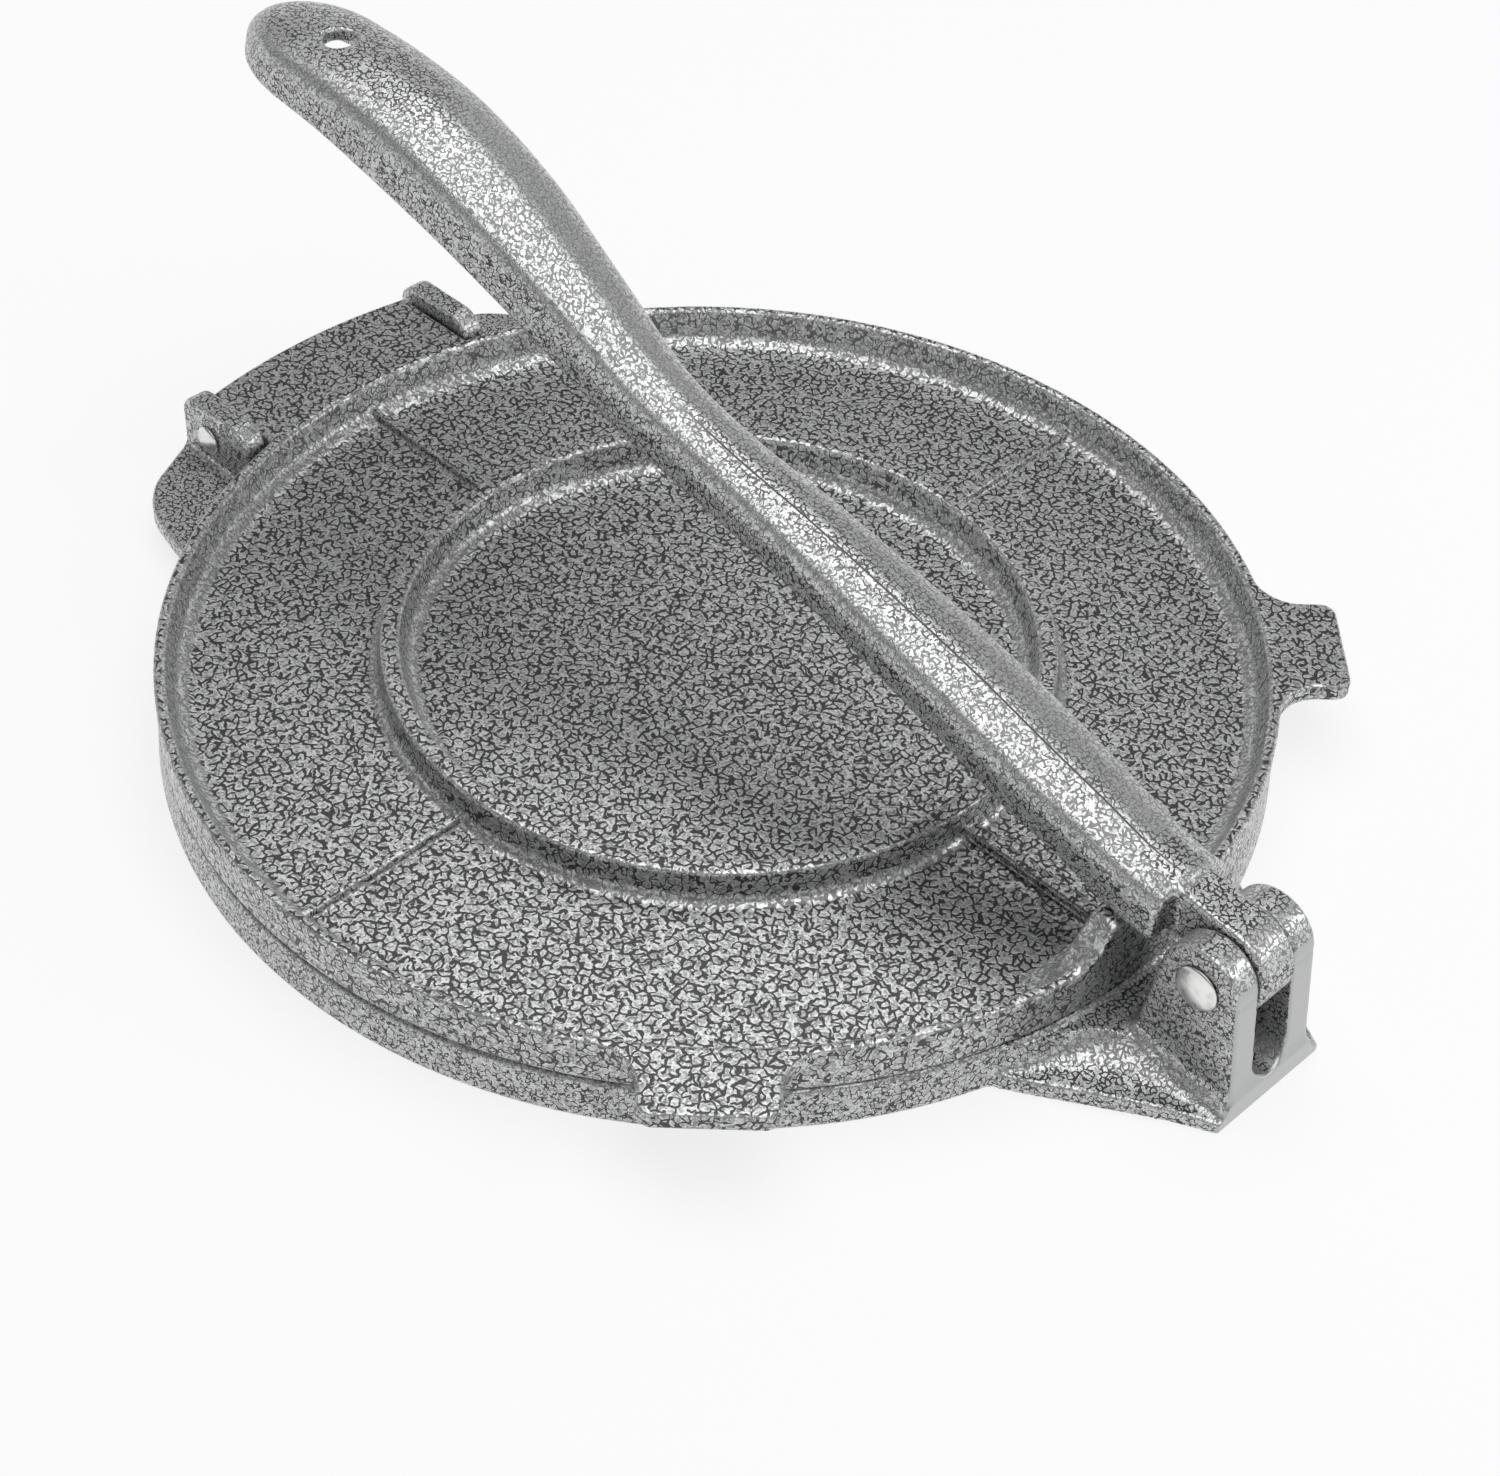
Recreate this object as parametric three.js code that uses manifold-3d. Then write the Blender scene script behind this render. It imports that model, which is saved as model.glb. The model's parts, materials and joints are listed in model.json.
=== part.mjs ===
// A hand press for tortillas: two round cast plates, hinged to each other at one side,
// and a curved lever on the other side that bears down on a boss of the top plate.
// Millimetres, +Z up. X runs from the plate hinge at -X to the lever's clevis at +X.
import * as THREE from 'three';
import { mergeVertices } from 'three/addons/utils/BufferGeometryUtils.js';
import Module from 'manifold-3d';

const wasm = await Module();
wasm.setup();

// Both plates: a flat working face, and behind it a web, a rim, a ring and four ribs
const plateRadius = 105;
const topThickness = 9.5;
const baseThickness = 8.5;
const plateGap = 0.3;
const webThickness = 3;
const baseDraft = 0.6;
const rimLand = 2;
const rimDraft = 2.4;
const ringInnerRadius = 60;
const ringLand = 3.6;
const ringInnerDraft = 1.9;
const ringOuterDraft = 0.6;
const footFillet = 2.3;
const edgeRound = 0.7;
const ribHeight = 1.8;
const ribWidth = 1.4;
const leverRibWidth = 3;
const ribDraft = 0.7;

// Two lifting tabs on the top plate
const tabAngle = THREE.MathUtils.degToRad(45.5);
const tabReach = 12.8;
const tabHalfWidth = 12;
const tabThickness = 3.6;
const tabRootFillet = 7;
const tabRootRun = 9;
const tabCornerRound = 3;

// Plate hinge: a tongue of the top plate between two ears of the base
const hingeReach = 9.8;
const hingeDrop = 4.2;
const hingePinRadius = 2.5;
const tongueHalfWidth = 25.7;
const tongueReach = 19.3;
const tongueEndRound = 2.5;
const earSideGap = 0.6;
const earDiscGap = 0.8;
const earThickness = 5;
const earRise = 3;
const earReach = 18.4;
const earOuterRound = 4.5;
const earInnerRound = 5.2;
const earEdgeRound = 0.8;

// Shoulders of the base that carry the ears
const shoulderThickness = 3.6;
const shoulderReach = 9.9;
const shoulderHalfSpan = 48.6;
const shoulderRound = 6;
const shoulderRootAngle = THREE.MathUtils.degToRad(31.5);

// Clevis of the base, its foot and the flange that ties it to the disc
const leverPinReach = 17.3;
const leverPinRise = 7.3;
const leverPinRadius = 3.75;
const eyeRadius = 8;
const eyeTangent = THREE.MathUtils.degToRad(10);
const clevisHalfWidth = 10.7;
const clevisFootIn = 12.1;
const clevisFootOut = 11;
const clevisFootHalfWidth = 13.6;
const clevisFootFlare = 2.4;
const slotFloor = 5.2;
const slotSideGap = 0.3;
const flangeHalfSpan = 34;
const flangeEdge = 3.4;

// Boss of the top plate that the lever presses on
const bossRise = 7.7;
const bossLength = 6;
const bossTopHalfWidth = 10.5;
const bossFootHalfWidth = 19;
const bossNose = 1.6;
const bossNoseDrop = 1.1;
const bossInnerDraft = 2;
const bossRound = 1.2;

// Lever: a solid hub and heel, then a domed channel, open below, that bends up to the grip
const leverLength = 251;
const leverRise = 62.8;
const leverBodyStart = 11.5;
const leverHalfWidth = 13.2;
const leverDepth = 12.8;
const leverWall = 3;
const leverSlopeRun = 2;
const hubRadius = 8.8;
const hubWidth = 8.6;
const heelHalfWidth = 8;
const heelDraft = 1.6;
const channelStart = 30;
const leverStep = 9;
const tipLength = 20;
const hangHoleRadius = 3.2;
const hangHoleInset = 24;

// Rivets that serve as pins
const rivetHeadOverhang = 1.1;
const rivetHeadRise = 1.1;
const rivetTailOverhang = 0.7;

// Clearances and cutting
const contactGap = 0.3;
const pinClearance = 0.15;
const overrun = 2;

// Degrees in a turn, and chords per turn and per rounded corner
const fullTurn = 360;
const plateSteps = 64;
const pinSteps = 24;
const cornerSteps = 2;
const tipSteps = 5;

// Places worked out from the sizes above
const topSeat = baseThickness + plateGap;
const rimTop = topSeat + topThickness;
const ringOuterRadius = ringInnerRadius + ringLand;
const hingeX = -(plateRadius + hingeReach);
const hingeZ = rimTop - hingeDrop;
const earInnerFace = tongueHalfWidth + earSideGap;
const earOuterFace = earInnerFace + earThickness;
const leverPinX = plateRadius + leverPinReach;
const leverPinZ = rimTop + leverPinRise;
const slotHalfWidth = hubWidth / 2 + slotSideGap;
const clevisEnd = leverPinX + clevisFootOut;
const leverTip = leverPinX - leverLength;
const bossTopZ = topThickness + bossRise;
const heelZ = bossRise + contactGap - leverPinRise;
const heelStart = leverPinReach + bossNose;
const heelEnd = leverPinReach + bossLength;

// Shares of the flange's run from the disc to the foot's end, and of its spread from the
// foot to the root, at its table outline and at the brow where it meets the clevis
const flangeOutlineShares = [[0, 1], [0.13, 0.88], [0.3, 0.7], [0.55, 0.43], [0.8, 0.17], [1, 0]];
const flangeBrowShares = [[0, 0.9], [0.09, 0.68], [0.18, 0.3], [0.32, 0.02], [0.6, -0.06], [0.95, -0.1]];
const flangeBrowRiseShares = [1, 1, 1, 0.93, 0.66, 0.44];

// Lever stations: share of the length from the pin, of the rise, of the half width, of the depth
const leverStationShares = [
  [0.02, 0, 0.71, 0.78],
  [0.07, 0.012, 0.71, 0.8],
  [0.09, 0.03, 0.72, 0.8],
  [0.13, 0.083, 0.74, 0.78],
  [0.17, 0.13, 0.78, 0.76],
  [0.25, 0.23, 0.77, 0.73],
  [0.33, 0.314, 0.72, 0.7],
  [0.41, 0.383, 0.66, 0.71],
  [0.49, 0.432, 0.59, 0.76],
  [0.57, 0.508, 0.62, 0.83],
  [0.65, 0.664, 0.76, 0.9],
  [0.73, 0.812, 0.92, 0.97],
  [0.81, 0.912, 0.99, 1],
  [0.87, 0.962, 0.985, 0.9],
  [0.92, 0.985, 0.97, 0.8],
  [1, 1, 0.93, 0.7],
];

// One half of the lever's section, from the skirt's lower edge to the crest: width and depth
const outerSectionShares = [
  [1, 0],
  [0.985, 0.3],
  [0.94, 0.58],
  [0.82, 0.78],
  [0.6, 0.89],
  [0.3, 0.96],
  [0, 1],
];
const innerSectionShares = [[1, 0], [0.97, 0.5], [0.84, 0.8], [0.45, 0.94], [0, 1]];
const tipEdgeShare = 0.4;
const tipSweepShare = 0.95;

// A closed geometry as a solid, with its seam vertices merged and its faces turned out
function solidOf(geometry) {
  const bare = geometry.index ? geometry.toNonIndexed() : geometry.clone();
  bare.deleteAttribute('normal');
  bare.deleteAttribute('uv');
  const merged = mergeVertices(bare);
  const spots = merged.attributes.position;
  const corner = [new THREE.Vector3(), new THREE.Vector3(), new THREE.Vector3()];
  const triangles = [];
  let volume = 0;
  for (let i = 0; i < merged.index.count; i += 3) {
    const trio = [0, 1, 2].map((k) => merged.index.getX(i + k));
    if (new Set(trio).size < trio.length) continue;
    trio.forEach((vertex, k) => corner[k].fromBufferAttribute(spots, vertex));
    volume += corner[0].dot(corner[1].clone().cross(corner[2]));
    triangles.push(trio);
  }
  if (volume < 0) triangles.forEach((trio) => trio.reverse());
  return new wasm.Manifold(new wasm.Mesh({
    numProp: 3,
    vertProperties: Float32Array.from(spots.array),
    triVerts: Uint32Array.from(triangles.flat()),
  }));
}

function geometryOf(solid) {
  const mesh = solid.getMesh();
  const geometry = new THREE.BufferGeometry();
  geometry.setAttribute('position', new THREE.BufferAttribute(mesh.vertProperties, 3));
  geometry.setIndex(new THREE.BufferAttribute(mesh.triVerts, 1));
  geometry.computeVertexNormals();
  return geometry;
}

// Turns each corner [x, y, radius] of an outline into an arc, no longer than its edges allow
function rounded(corners, closed = true) {
  const count = corners.length;
  return corners.flatMap(([x, y, radius = 0], i) => {
    const here = new THREE.Vector2(x, y);
    const isEnd = !closed && (i === 0 || i === count - 1);
    if (radius === 0 || isEnd) return [here];
    const [beforeX, beforeY] = corners[(i + count - 1) % count];
    const [afterX, afterY] = corners[(i + 1) % count];
    const before = new THREE.Vector2(beforeX, beforeY).sub(here);
    const after = new THREE.Vector2(afterX, afterY).sub(here);
    const half = before.angleTo(after) / 2;
    const room = Math.min(before.length(), after.length()) / 2;
    const reach = Math.min(radius / Math.tan(half), room);
    before.normalize();
    after.normalize();
    const centre = before.clone().add(after).normalize().multiplyScalar(reach / Math.cos(half));
    const start = before.multiplyScalar(reach).sub(centre);
    const end = after.multiplyScalar(reach).sub(centre);
    const sweep = Math.atan2(start.cross(end), start.dot(end));
    return Array.from({ length: cornerSteps + 1 }, (_, k) => {
      const spoke = start.clone().rotateAround(new THREE.Vector2(), sweep * k / cornerSteps);
      return spoke.add(centre).add(here);
    });
  });
}

// The planes that an outline is drawn in, as the directions of its x, its y and its depth
const along = new THREE.Vector3(1, 0, 0);
const across = new THREE.Vector3(0, 1, 0);
const up = new THREE.Vector3(0, 0, 1);
const planView = new THREE.Matrix4().makeBasis(along, across, up);
const sideView = new THREE.Matrix4().makeBasis(along, up, across.clone().negate());
const endView = new THREE.Matrix4().makeBasis(across, up, along);

// A solid with the given outline, from one depth to another along the view's third direction
function extruded(outline, from, to, view = planView) {
  const settings = { depth: to - from, bevelEnabled: false };
  const geometry = new THREE.ExtrudeGeometry(new THREE.Shape(outline), settings);
  geometry.translate(0, 0, from);
  return solidOf(geometry.applyMatrix4(view));
}

function turned(profile, steps) {
  return solidOf(new THREE.LatheGeometry(profile, steps).rotateX(Math.PI / 2));
}

// A cylinder along Y or Z through a centre
function rod(radius, length, steps, centre, upright = false) {
  const geometry = new THREE.CylinderGeometry(radius, radius, length, steps);
  if (upright) geometry.rotateX(Math.PI / 2);
  return solidOf(geometry.translate(...centre));
}

// A solid skin through closed rings of equal count, with flat ends
function lofted(rings) {
  const count = rings[0].length;
  const spots = rings.flat().flatMap((point) => point.toArray());
  const faces = [];
  for (let r = 0; r + 1 < rings.length; r += 1) {
    for (let i = 0; i < count; i += 1) {
      const next = (i + 1) % count;
      const [a, b] = [r * count + i, r * count + next];
      const [c, d] = [a + count, b + count];
      faces.push(a, b, d, a, d, c);
    }
  }
  const last = (rings.length - 1) * count;
  for (let i = 1; i + 1 < count; i += 1) {
    faces.push(0, i + 1, i, last, last + i, last + i + 1);
  }
  const geometry = new THREE.BufferGeometry();
  geometry.setAttribute('position', new THREE.Float32BufferAttribute(spots, 3));
  geometry.setIndex(faces);
  return solidOf(geometry);
}

function joined(solids) {
  return solids.reduce((whole, solid) => whole.add(solid));
}

function mirrored(outline) {
  return outline.map((point) => point.clone().multiply(new THREE.Vector2(1, -1))).reverse();
}

// A round plate with its working face at faceZ and its rim, ring and ribs out to rimZ
function recessedPlate(faceZ, rimZ, rimRadius) {
  const outward = Math.sign(rimZ - faceZ);
  const webZ = faceZ + outward * webThickness;
  const rimInner = plateRadius - rimLand;
  const profile = rounded([
    [0, faceZ],
    [plateRadius, faceZ, edgeRound],
    [rimRadius, rimZ, edgeRound],
    [rimInner, rimZ, edgeRound],
    [rimInner - rimDraft, webZ, footFillet],
    [ringOuterRadius + ringOuterDraft, webZ, footFillet],
    [ringOuterRadius, rimZ, edgeRound],
    [ringInnerRadius, rimZ, edgeRound],
    [ringInnerRadius - ringInnerDraft, webZ, footFillet],
    [0, webZ],
  ], false);
  const ribWidths = [leverRibWidth, ribWidth, ribWidth, ribWidth];
  const ribs = ribWidths.map((width, i) => {
    const top = webZ + outward * ribHeight;
    const section = [
      new THREE.Vector2(-width / 2 - ribDraft, faceZ + outward * webThickness / 2),
      new THREE.Vector2(width / 2 + ribDraft, faceZ + outward * webThickness / 2),
      new THREE.Vector2(width / 2, top),
      new THREE.Vector2(-width / 2, top),
    ];
    const rib = extruded(section, ringOuterRadius - ringLand / 2, rimInner, endView);
    return rib.rotate([0, 0, fullTurn * i / ribWidths.length]);
  });
  return joined([turned(profile, plateSteps), ...ribs]);
}

// Distance from the disc's centre to its edge, at a given offset from the centre line
function edgeAt(offset) {
  return Math.sqrt(plateRadius ** 2 - offset ** 2);
}

// What stands out from a disc is rooted in its rim, and leaves the recess behind the rim free
function outsideRim(solid) {
  const core = rod(plateRadius - rimLand / 2, 2 * rimTop, plateSteps, [0, 0, 0], true);
  return solid.subtract(core);
}

function liftingTab(angle) {
  const rootOffset = tabHalfWidth + tabRootRun;
  const half = [
    [edgeAt(rootOffset) - overrun, rootOffset],
    [edgeAt(rootOffset), rootOffset],
    [edgeAt(tabHalfWidth), tabHalfWidth, tabRootFillet],
    [plateRadius + tabReach, tabHalfWidth, tabCornerRound],
  ];
  const otherHalf = half.map(([x, y, radius]) => [x, -y, radius]).reverse();
  const outline = rounded([...half, ...otherHalf]);
  const tab = extruded(outline, topThickness - tabThickness, topThickness);
  return tab.rotate([0, 0, THREE.MathUtils.radToDeg(angle)]);
}

// The tongue's end follows the disc's curve in plan, and is rounded in side view
function hingeTongue() {
  const end = plateRadius + tongueReach;
  const root = edgeAt(tongueHalfWidth) - overrun;
  const side = rounded([
    [-end, 0, tongueEndRound],
    [-root, 0],
    [-root, topThickness],
    [-end, topThickness, edgeRound],
  ]);
  const bar = extruded(side, -tongueHalfWidth, tongueHalfWidth, sideView);
  const plan = rod(end, topThickness + 2 * overrun, plateSteps, [0, 0, topThickness / 2], true);
  return bar.intersect(plan);
}

// A boss with drafted sides, flush with the disc's edge and eased towards the lever's pin
function leverBoss() {
  const inner = plateRadius - bossLength;
  const side = rounded([
    [inner - bossInnerDraft, webThickness],
    [inner, bossTopZ, bossRound],
    [plateRadius - bossNose, bossTopZ, bossRound],
    [plateRadius + overrun, bossTopZ - bossNoseDrop],
    [plateRadius + overrun, webThickness / 2],
    [inner - bossInnerDraft, webThickness / 2],
  ]);
  const front = rounded([
    [-bossFootHalfWidth, webThickness / 2],
    [bossFootHalfWidth, webThickness / 2],
    [bossTopHalfWidth, bossTopZ, bossRound],
    [-bossTopHalfWidth, bossTopZ, bossRound],
  ]);
  const blank = extruded(side, -bossFootHalfWidth, bossFootHalfWidth, sideView);
  const drafted = extruded(front, inner - 2 * bossInnerDraft, plateRadius + 2 * overrun, endView);
  const disc = rod(plateRadius, 2 * bossTopZ, plateSteps, [0, 0, bossTopZ / 2], true);
  return blank.intersect(drafted).intersect(disc);
}

function topPlateGeometry() {
  const outgrowths = joined([liftingTab(tabAngle), liftingTab(-tabAngle), hingeTongue()]);
  const whole = joined([
    recessedPlate(0, topThickness, plateRadius),
    outsideRim(outgrowths),
    leverBoss(),
  ]);
  const bore = rod(
    hingePinRadius + pinClearance,
    2 * (tongueHalfWidth + overrun),
    pinSteps,
    [hingeX, 0, topThickness - hingeDrop],
  );
  return geometryOf(whole.subtract(bore));
}

// An upright ear beside the tongue, kept clear of the disc's edge as it swings open
function hingeEar(side) {
  const outline = rounded([
    [-plateRadius - earReach, baseThickness - shoulderThickness],
    [-edgeAt(earInnerFace) - earDiscGap, baseThickness - shoulderThickness],
    [-edgeAt(earInnerFace) - earDiscGap, rimTop + earRise, earInnerRound],
    [-plateRadius - earReach, rimTop + earRise, earOuterRound],
  ]);
  const [from, to] = side > 0 ? [-earOuterFace, -earInnerFace] : [earInnerFace, earOuterFace];
  return extruded(outline, from, to, sideView);
}

// The shoulder's edge leaves the disc, turns at a round corner and runs to the ear
function hingeShoulder(side) {
  const rootRadius = plateRadius - overrun;
  const ear = plateRadius + earReach;
  const outline = rounded([
    [-ear, earInnerFace],
    [-ear, earOuterFace, earEdgeRound],
    [-plateRadius - shoulderReach, shoulderHalfSpan, shoulderRound],
    [-plateRadius * Math.cos(shoulderRootAngle), plateRadius * Math.sin(shoulderRootAngle)],
    [-rootRadius * Math.cos(shoulderRootAngle), rootRadius * Math.sin(shoulderRootAngle)],
    [overrun - edgeAt(earInnerFace), earInnerFace],
  ]);
  return extruded(side > 0 ? outline : mirrored(outline), baseThickness - shoulderThickness, baseThickness);
}

// A ring of the flange from shares of its run and spread, both sides of the centre line
function flangeRing(shares, heights) {
  const root = edgeAt(flangeHalfSpan) - overrun;
  const half = shares.map(([run, spread], i) => new THREE.Vector3(
    THREE.MathUtils.lerp(root, clevisEnd, run),
    THREE.MathUtils.lerp(clevisFootHalfWidth, flangeHalfSpan, spread),
    heights[i],
  ));
  const otherHalf = half.map((point) => point.clone().multiply(new THREE.Vector3(1, -1, 1)));
  return [...half, ...otherHalf.reverse()];
}

// The flange falls from the disc's face to a thin edge round the clevis foot
function clevisFlange() {
  const edges = flangeBrowRiseShares.map((share) => flangeEdge * Math.sqrt(share));
  const brow = flangeBrowRiseShares.map((share) => (baseThickness - edgeRound) * share);
  return lofted([
    flangeRing(flangeOutlineShares, flangeOutlineShares.map(() => 0)),
    flangeRing(flangeOutlineShares, edges),
    flangeRing(flangeBrowShares, brow),
  ]);
}

// Side outline of the clevis: a round eye over two sides that widen to the foot
function clevisOutline() {
  const eye = [];
  const sweep = Math.PI - 2 * eyeTangent;
  for (let i = 0; i <= pinSteps / 2; i += 1) {
    const angle = eyeTangent + sweep * i / (pinSteps / 2);
    eye.push(new THREE.Vector2(
      leverPinX + eyeRadius * Math.cos(angle),
      leverPinZ + eyeRadius * Math.sin(angle),
    ));
  }
  const feet = [new THREE.Vector2(leverPinX - clevisFootIn, 0), new THREE.Vector2(clevisEnd, 0)];
  return [...eye, ...feet];
}

function clevis() {
  const block = extruded(clevisOutline(), -clevisHalfWidth, clevisHalfWidth, sideView);
  const flareTop = flangeEdge + clevisFootFlare;
  const flareEnd = rounded([
    [-clevisFootHalfWidth, 0],
    [clevisFootHalfWidth, 0],
    [clevisFootHalfWidth, flangeEdge, edgeRound],
    [clevisHalfWidth, flareTop],
    [-clevisHalfWidth, flareTop],
    [-clevisFootHalfWidth, flangeEdge, edgeRound],
  ]);
  const foot = extruded(flareEnd, leverPinX - clevisFootIn, clevisEnd - edgeRound, endView);
  return joined([block, foot, outsideRim(clevisFlange())]);
}

// A slot with a round floor for the lever's hub, open at the top and at both ends
function clevisSlot() {
  const floor = [];
  for (let i = 0; i <= pinSteps / 2; i += 1) {
    const angle = Math.PI * (1 + i / (pinSteps / 2));
    floor.push(new THREE.Vector2(
      slotHalfWidth * Math.cos(angle),
      slotFloor + slotHalfWidth * (1 + Math.sin(angle)),
    ));
  }
  const top = leverPinZ + eyeRadius + overrun;
  const section = [...floor, new THREE.Vector2(slotHalfWidth, top), new THREE.Vector2(-slotHalfWidth, top)];
  return extruded(section, leverPinX - clevisFootIn - overrun, clevisEnd + overrun, endView);
}

function basePlateGeometry() {
  const whole = joined([
    recessedPlate(baseThickness, 0, plateRadius + baseDraft),
    hingeShoulder(1),
    hingeShoulder(-1),
    hingeEar(1),
    hingeEar(-1),
    clevis(),
  ]);
  const hingeBore = rod(
    hingePinRadius + pinClearance,
    2 * (earOuterFace + overrun),
    pinSteps,
    [hingeX, 0, hingeZ],
  );
  const leverBore = rod(
    leverPinRadius + pinClearance,
    2 * (clevisHalfWidth + overrun),
    pinSteps,
    [leverPinX, 0, leverPinZ],
  );
  return geometryOf(whole.subtract(clevisSlot()).subtract(hingeBore).subtract(leverBore));
}

// Rise, half width and depth of the lever at a distance from its pin
const leverTable = new THREE.CubicInterpolant(
  Float32Array.from(leverStationShares, ([run]) => run * leverLength),
  Float32Array.from(leverStationShares.flatMap(([, rise, width, depth]) => [
    rise * leverRise,
    width * leverHalfWidth,
    depth * leverDepth,
  ])),
  3,
);

function leverAt(distance) {
  const [rise, halfWidth, depth] = leverTable.evaluate(distance);
  return { rise: heelZ + rise, halfWidth, depth };
}

// A section across the lever, square to its lower edge; the section's foot can reach lower
function leverRing(distance, halfWidth, depth, shares, footDrop = 0) {
  const ahead = leverAt(distance + leverSlopeRun).rise;
  const behind = leverAt(distance - leverSlopeRun).rise;
  const slope = (ahead - behind) / (2 * leverSlopeRun);
  const square = new THREE.Vector3(slope, 0, 1).normalize();
  const origin = new THREE.Vector3(-distance, 0, leverAt(distance).rise);
  const half = [...shares];
  if (footDrop > 0) half.unshift([1, -footDrop / depth]);
  const place = ([width, height], side) => {
    const spot = square.clone().multiplyScalar(height * depth).add(origin);
    spot.y += side * width * halfWidth;
    return spot;
  };
  const near = half.map((share) => place(share, 1));
  const far = half.slice(0, -1).map((share) => place(share, -1)).reverse();
  return [...near, ...far];
}

// Rings from a start to the grip's round end, drawn in on all sides by an inset
function leverRings(start, inset, shares, footDrop) {
  const tipStart = leverLength - tipLength;
  const tipRun = tipLength - inset;
  const steps = Math.round((tipStart - start) / leverStep);
  const rings = [];
  for (let i = 0; i < steps; i += 1) {
    const distance = THREE.MathUtils.lerp(start, tipStart, i / steps);
    const { halfWidth, depth } = leverAt(distance);
    rings.push(leverRing(distance, halfWidth - inset, depth - inset, shares, footDrop));
  }
  for (let i = 0; i <= tipSteps; i += 1) {
    const angle = tipSweepShare * (Math.PI / 2) * (i / tipSteps);
    const distance = tipStart + tipRun * Math.sin(angle) / Math.sin(tipSweepShare * Math.PI / 2);
    const { halfWidth, depth } = leverAt(tipStart);
    const thinning = THREE.MathUtils.lerp(tipEdgeShare, 1, Math.cos(angle));
    rings.push(leverRing(
      distance,
      (halfWidth - inset) * Math.cos(angle),
      (depth - inset) * thinning,
      shares,
      footDrop,
    ));
  }
  return rings;
}

// The hub between the clevis ears, with a neck that runs into the lever's body
function leverHub() {
  const neckEnd = leverAt(heelStart);
  const bodyStart = leverAt(leverBodyStart);
  const neck = [
    new THREE.Vector2(0, -hubRadius / 2),
    new THREE.Vector2(-leverBodyStart, bodyStart.rise),
    new THREE.Vector2(-heelStart, neckEnd.rise),
    new THREE.Vector2(-heelStart, neckEnd.rise + neckEnd.depth - leverWall / 2),
    new THREE.Vector2(-leverBodyStart, bodyStart.rise + bodyStart.depth - leverWall / 4),
    new THREE.Vector2(0, hubRadius),
  ];
  const eye = rod(hubRadius, hubWidth, 2 * pinSteps, [0, 0, 0]);
  return eye.add(extruded(neck, -hubWidth / 2, hubWidth / 2, sideView));
}

// The pad under the lever that bears on the boss
function leverHeel() {
  const outline = [
    new THREE.Vector2(-heelStart, heelZ),
    new THREE.Vector2(heelDraft - heelStart, leverAt(heelStart - heelDraft).rise + leverWall / 2),
    new THREE.Vector2(-heelEnd - heelDraft, leverAt(heelEnd + heelDraft).rise + leverWall / 2),
    new THREE.Vector2(-heelEnd, heelZ),
  ];
  return extruded(outline, -heelHalfWidth, heelHalfWidth, sideView);
}

function leverGeometry() {
  const body = lofted(leverRings(leverBodyStart, 0, outerSectionShares, 0));
  const channel = lofted(leverRings(channelStart, leverWall, innerSectionShares, overrun));
  const holeDistance = leverLength - hangHoleInset;
  const holeCentre = [-holeDistance, 0, leverAt(holeDistance).rise + leverDepth / 2];
  const hangHole = rod(hangHoleRadius, 2 * leverDepth, pinSteps, holeCentre, true);
  const bore = rod(leverPinRadius + pinClearance, hubWidth + 2 * overrun, pinSteps, [0, 0, 0]);
  const whole = joined([body.subtract(channel), leverHub(), leverHeel()]);
  return geometryOf(whole.subtract(bore).subtract(hangHole));
}

// A rivet along Y: a domed head at -Y, a shank through the whole grip and a peened tail at +Y
function rivetGeometry(shankRadius, halfGrip) {
  const headFoot = halfGrip + contactGap;
  const headRadius = shankRadius + rivetHeadOverhang;
  const tailRadius = shankRadius + rivetTailOverhang;
  const profile = rounded([
    [0, -headFoot - rivetHeadRise],
    [headRadius, -headFoot - rivetHeadRise, rivetHeadRise],
    [headRadius, -headFoot],
    [shankRadius, -headFoot],
    [shankRadius, headFoot],
    [tailRadius, headFoot],
    [tailRadius, headFoot + rivetTailOverhang, rivetTailOverhang],
    [0, headFoot + rivetTailOverhang],
  ], false);
  return geometryOf(solidOf(new THREE.LatheGeometry(profile, pinSteps)));
}

const castCoat = { color: 0x8a8c8e, roughness: 0.42, metalness: 0.55 };
const brightSteel = { color: 0xd9d9d6, roughness: 0.25, metalness: 0.95 };

function piece(name, geometry, look, position) {
  const mesh = new THREE.Mesh(geometry, new THREE.MeshStandardMaterial(look));
  mesh.name = name;
  mesh.position.set(...position);
  return mesh;
}

const press = new THREE.Group();
press.add(piece('base_plate', basePlateGeometry(), castCoat, [0, 0, 0]));
press.add(piece('top_plate', topPlateGeometry(), castCoat, [0, 0, topSeat]));
press.add(piece('lever', leverGeometry(), castCoat, [leverPinX, 0, leverPinZ]));
press.add(piece(
  'lever_pin',
  rivetGeometry(leverPinRadius, clevisHalfWidth),
  brightSteel,
  [leverPinX, 0, leverPinZ],
));
press.add(piece(
  'hinge_pin',
  rivetGeometry(hingePinRadius, earOuterFace),
  brightSteel,
  [hingeX, 0, hingeZ],
));

// The whole stands on the middle of its box
press.position.x = -(clevisEnd + leverTip) / 2;

const part = new THREE.Group();
part.add(press);
export default part;
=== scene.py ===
"""The looks of a cast hand press for tortillas: smooth castings with a silver vein coat, bright
rivets and a plain stage. Each casting is a field, a function that is negative inside the metal and
grows by one for each unit of distance outside it, and its mesh is the field's zero level."""
import itertools
import json
import math

import bpy
import numpy as np
from mathutils import Matrix, Quaternion, Vector


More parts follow.
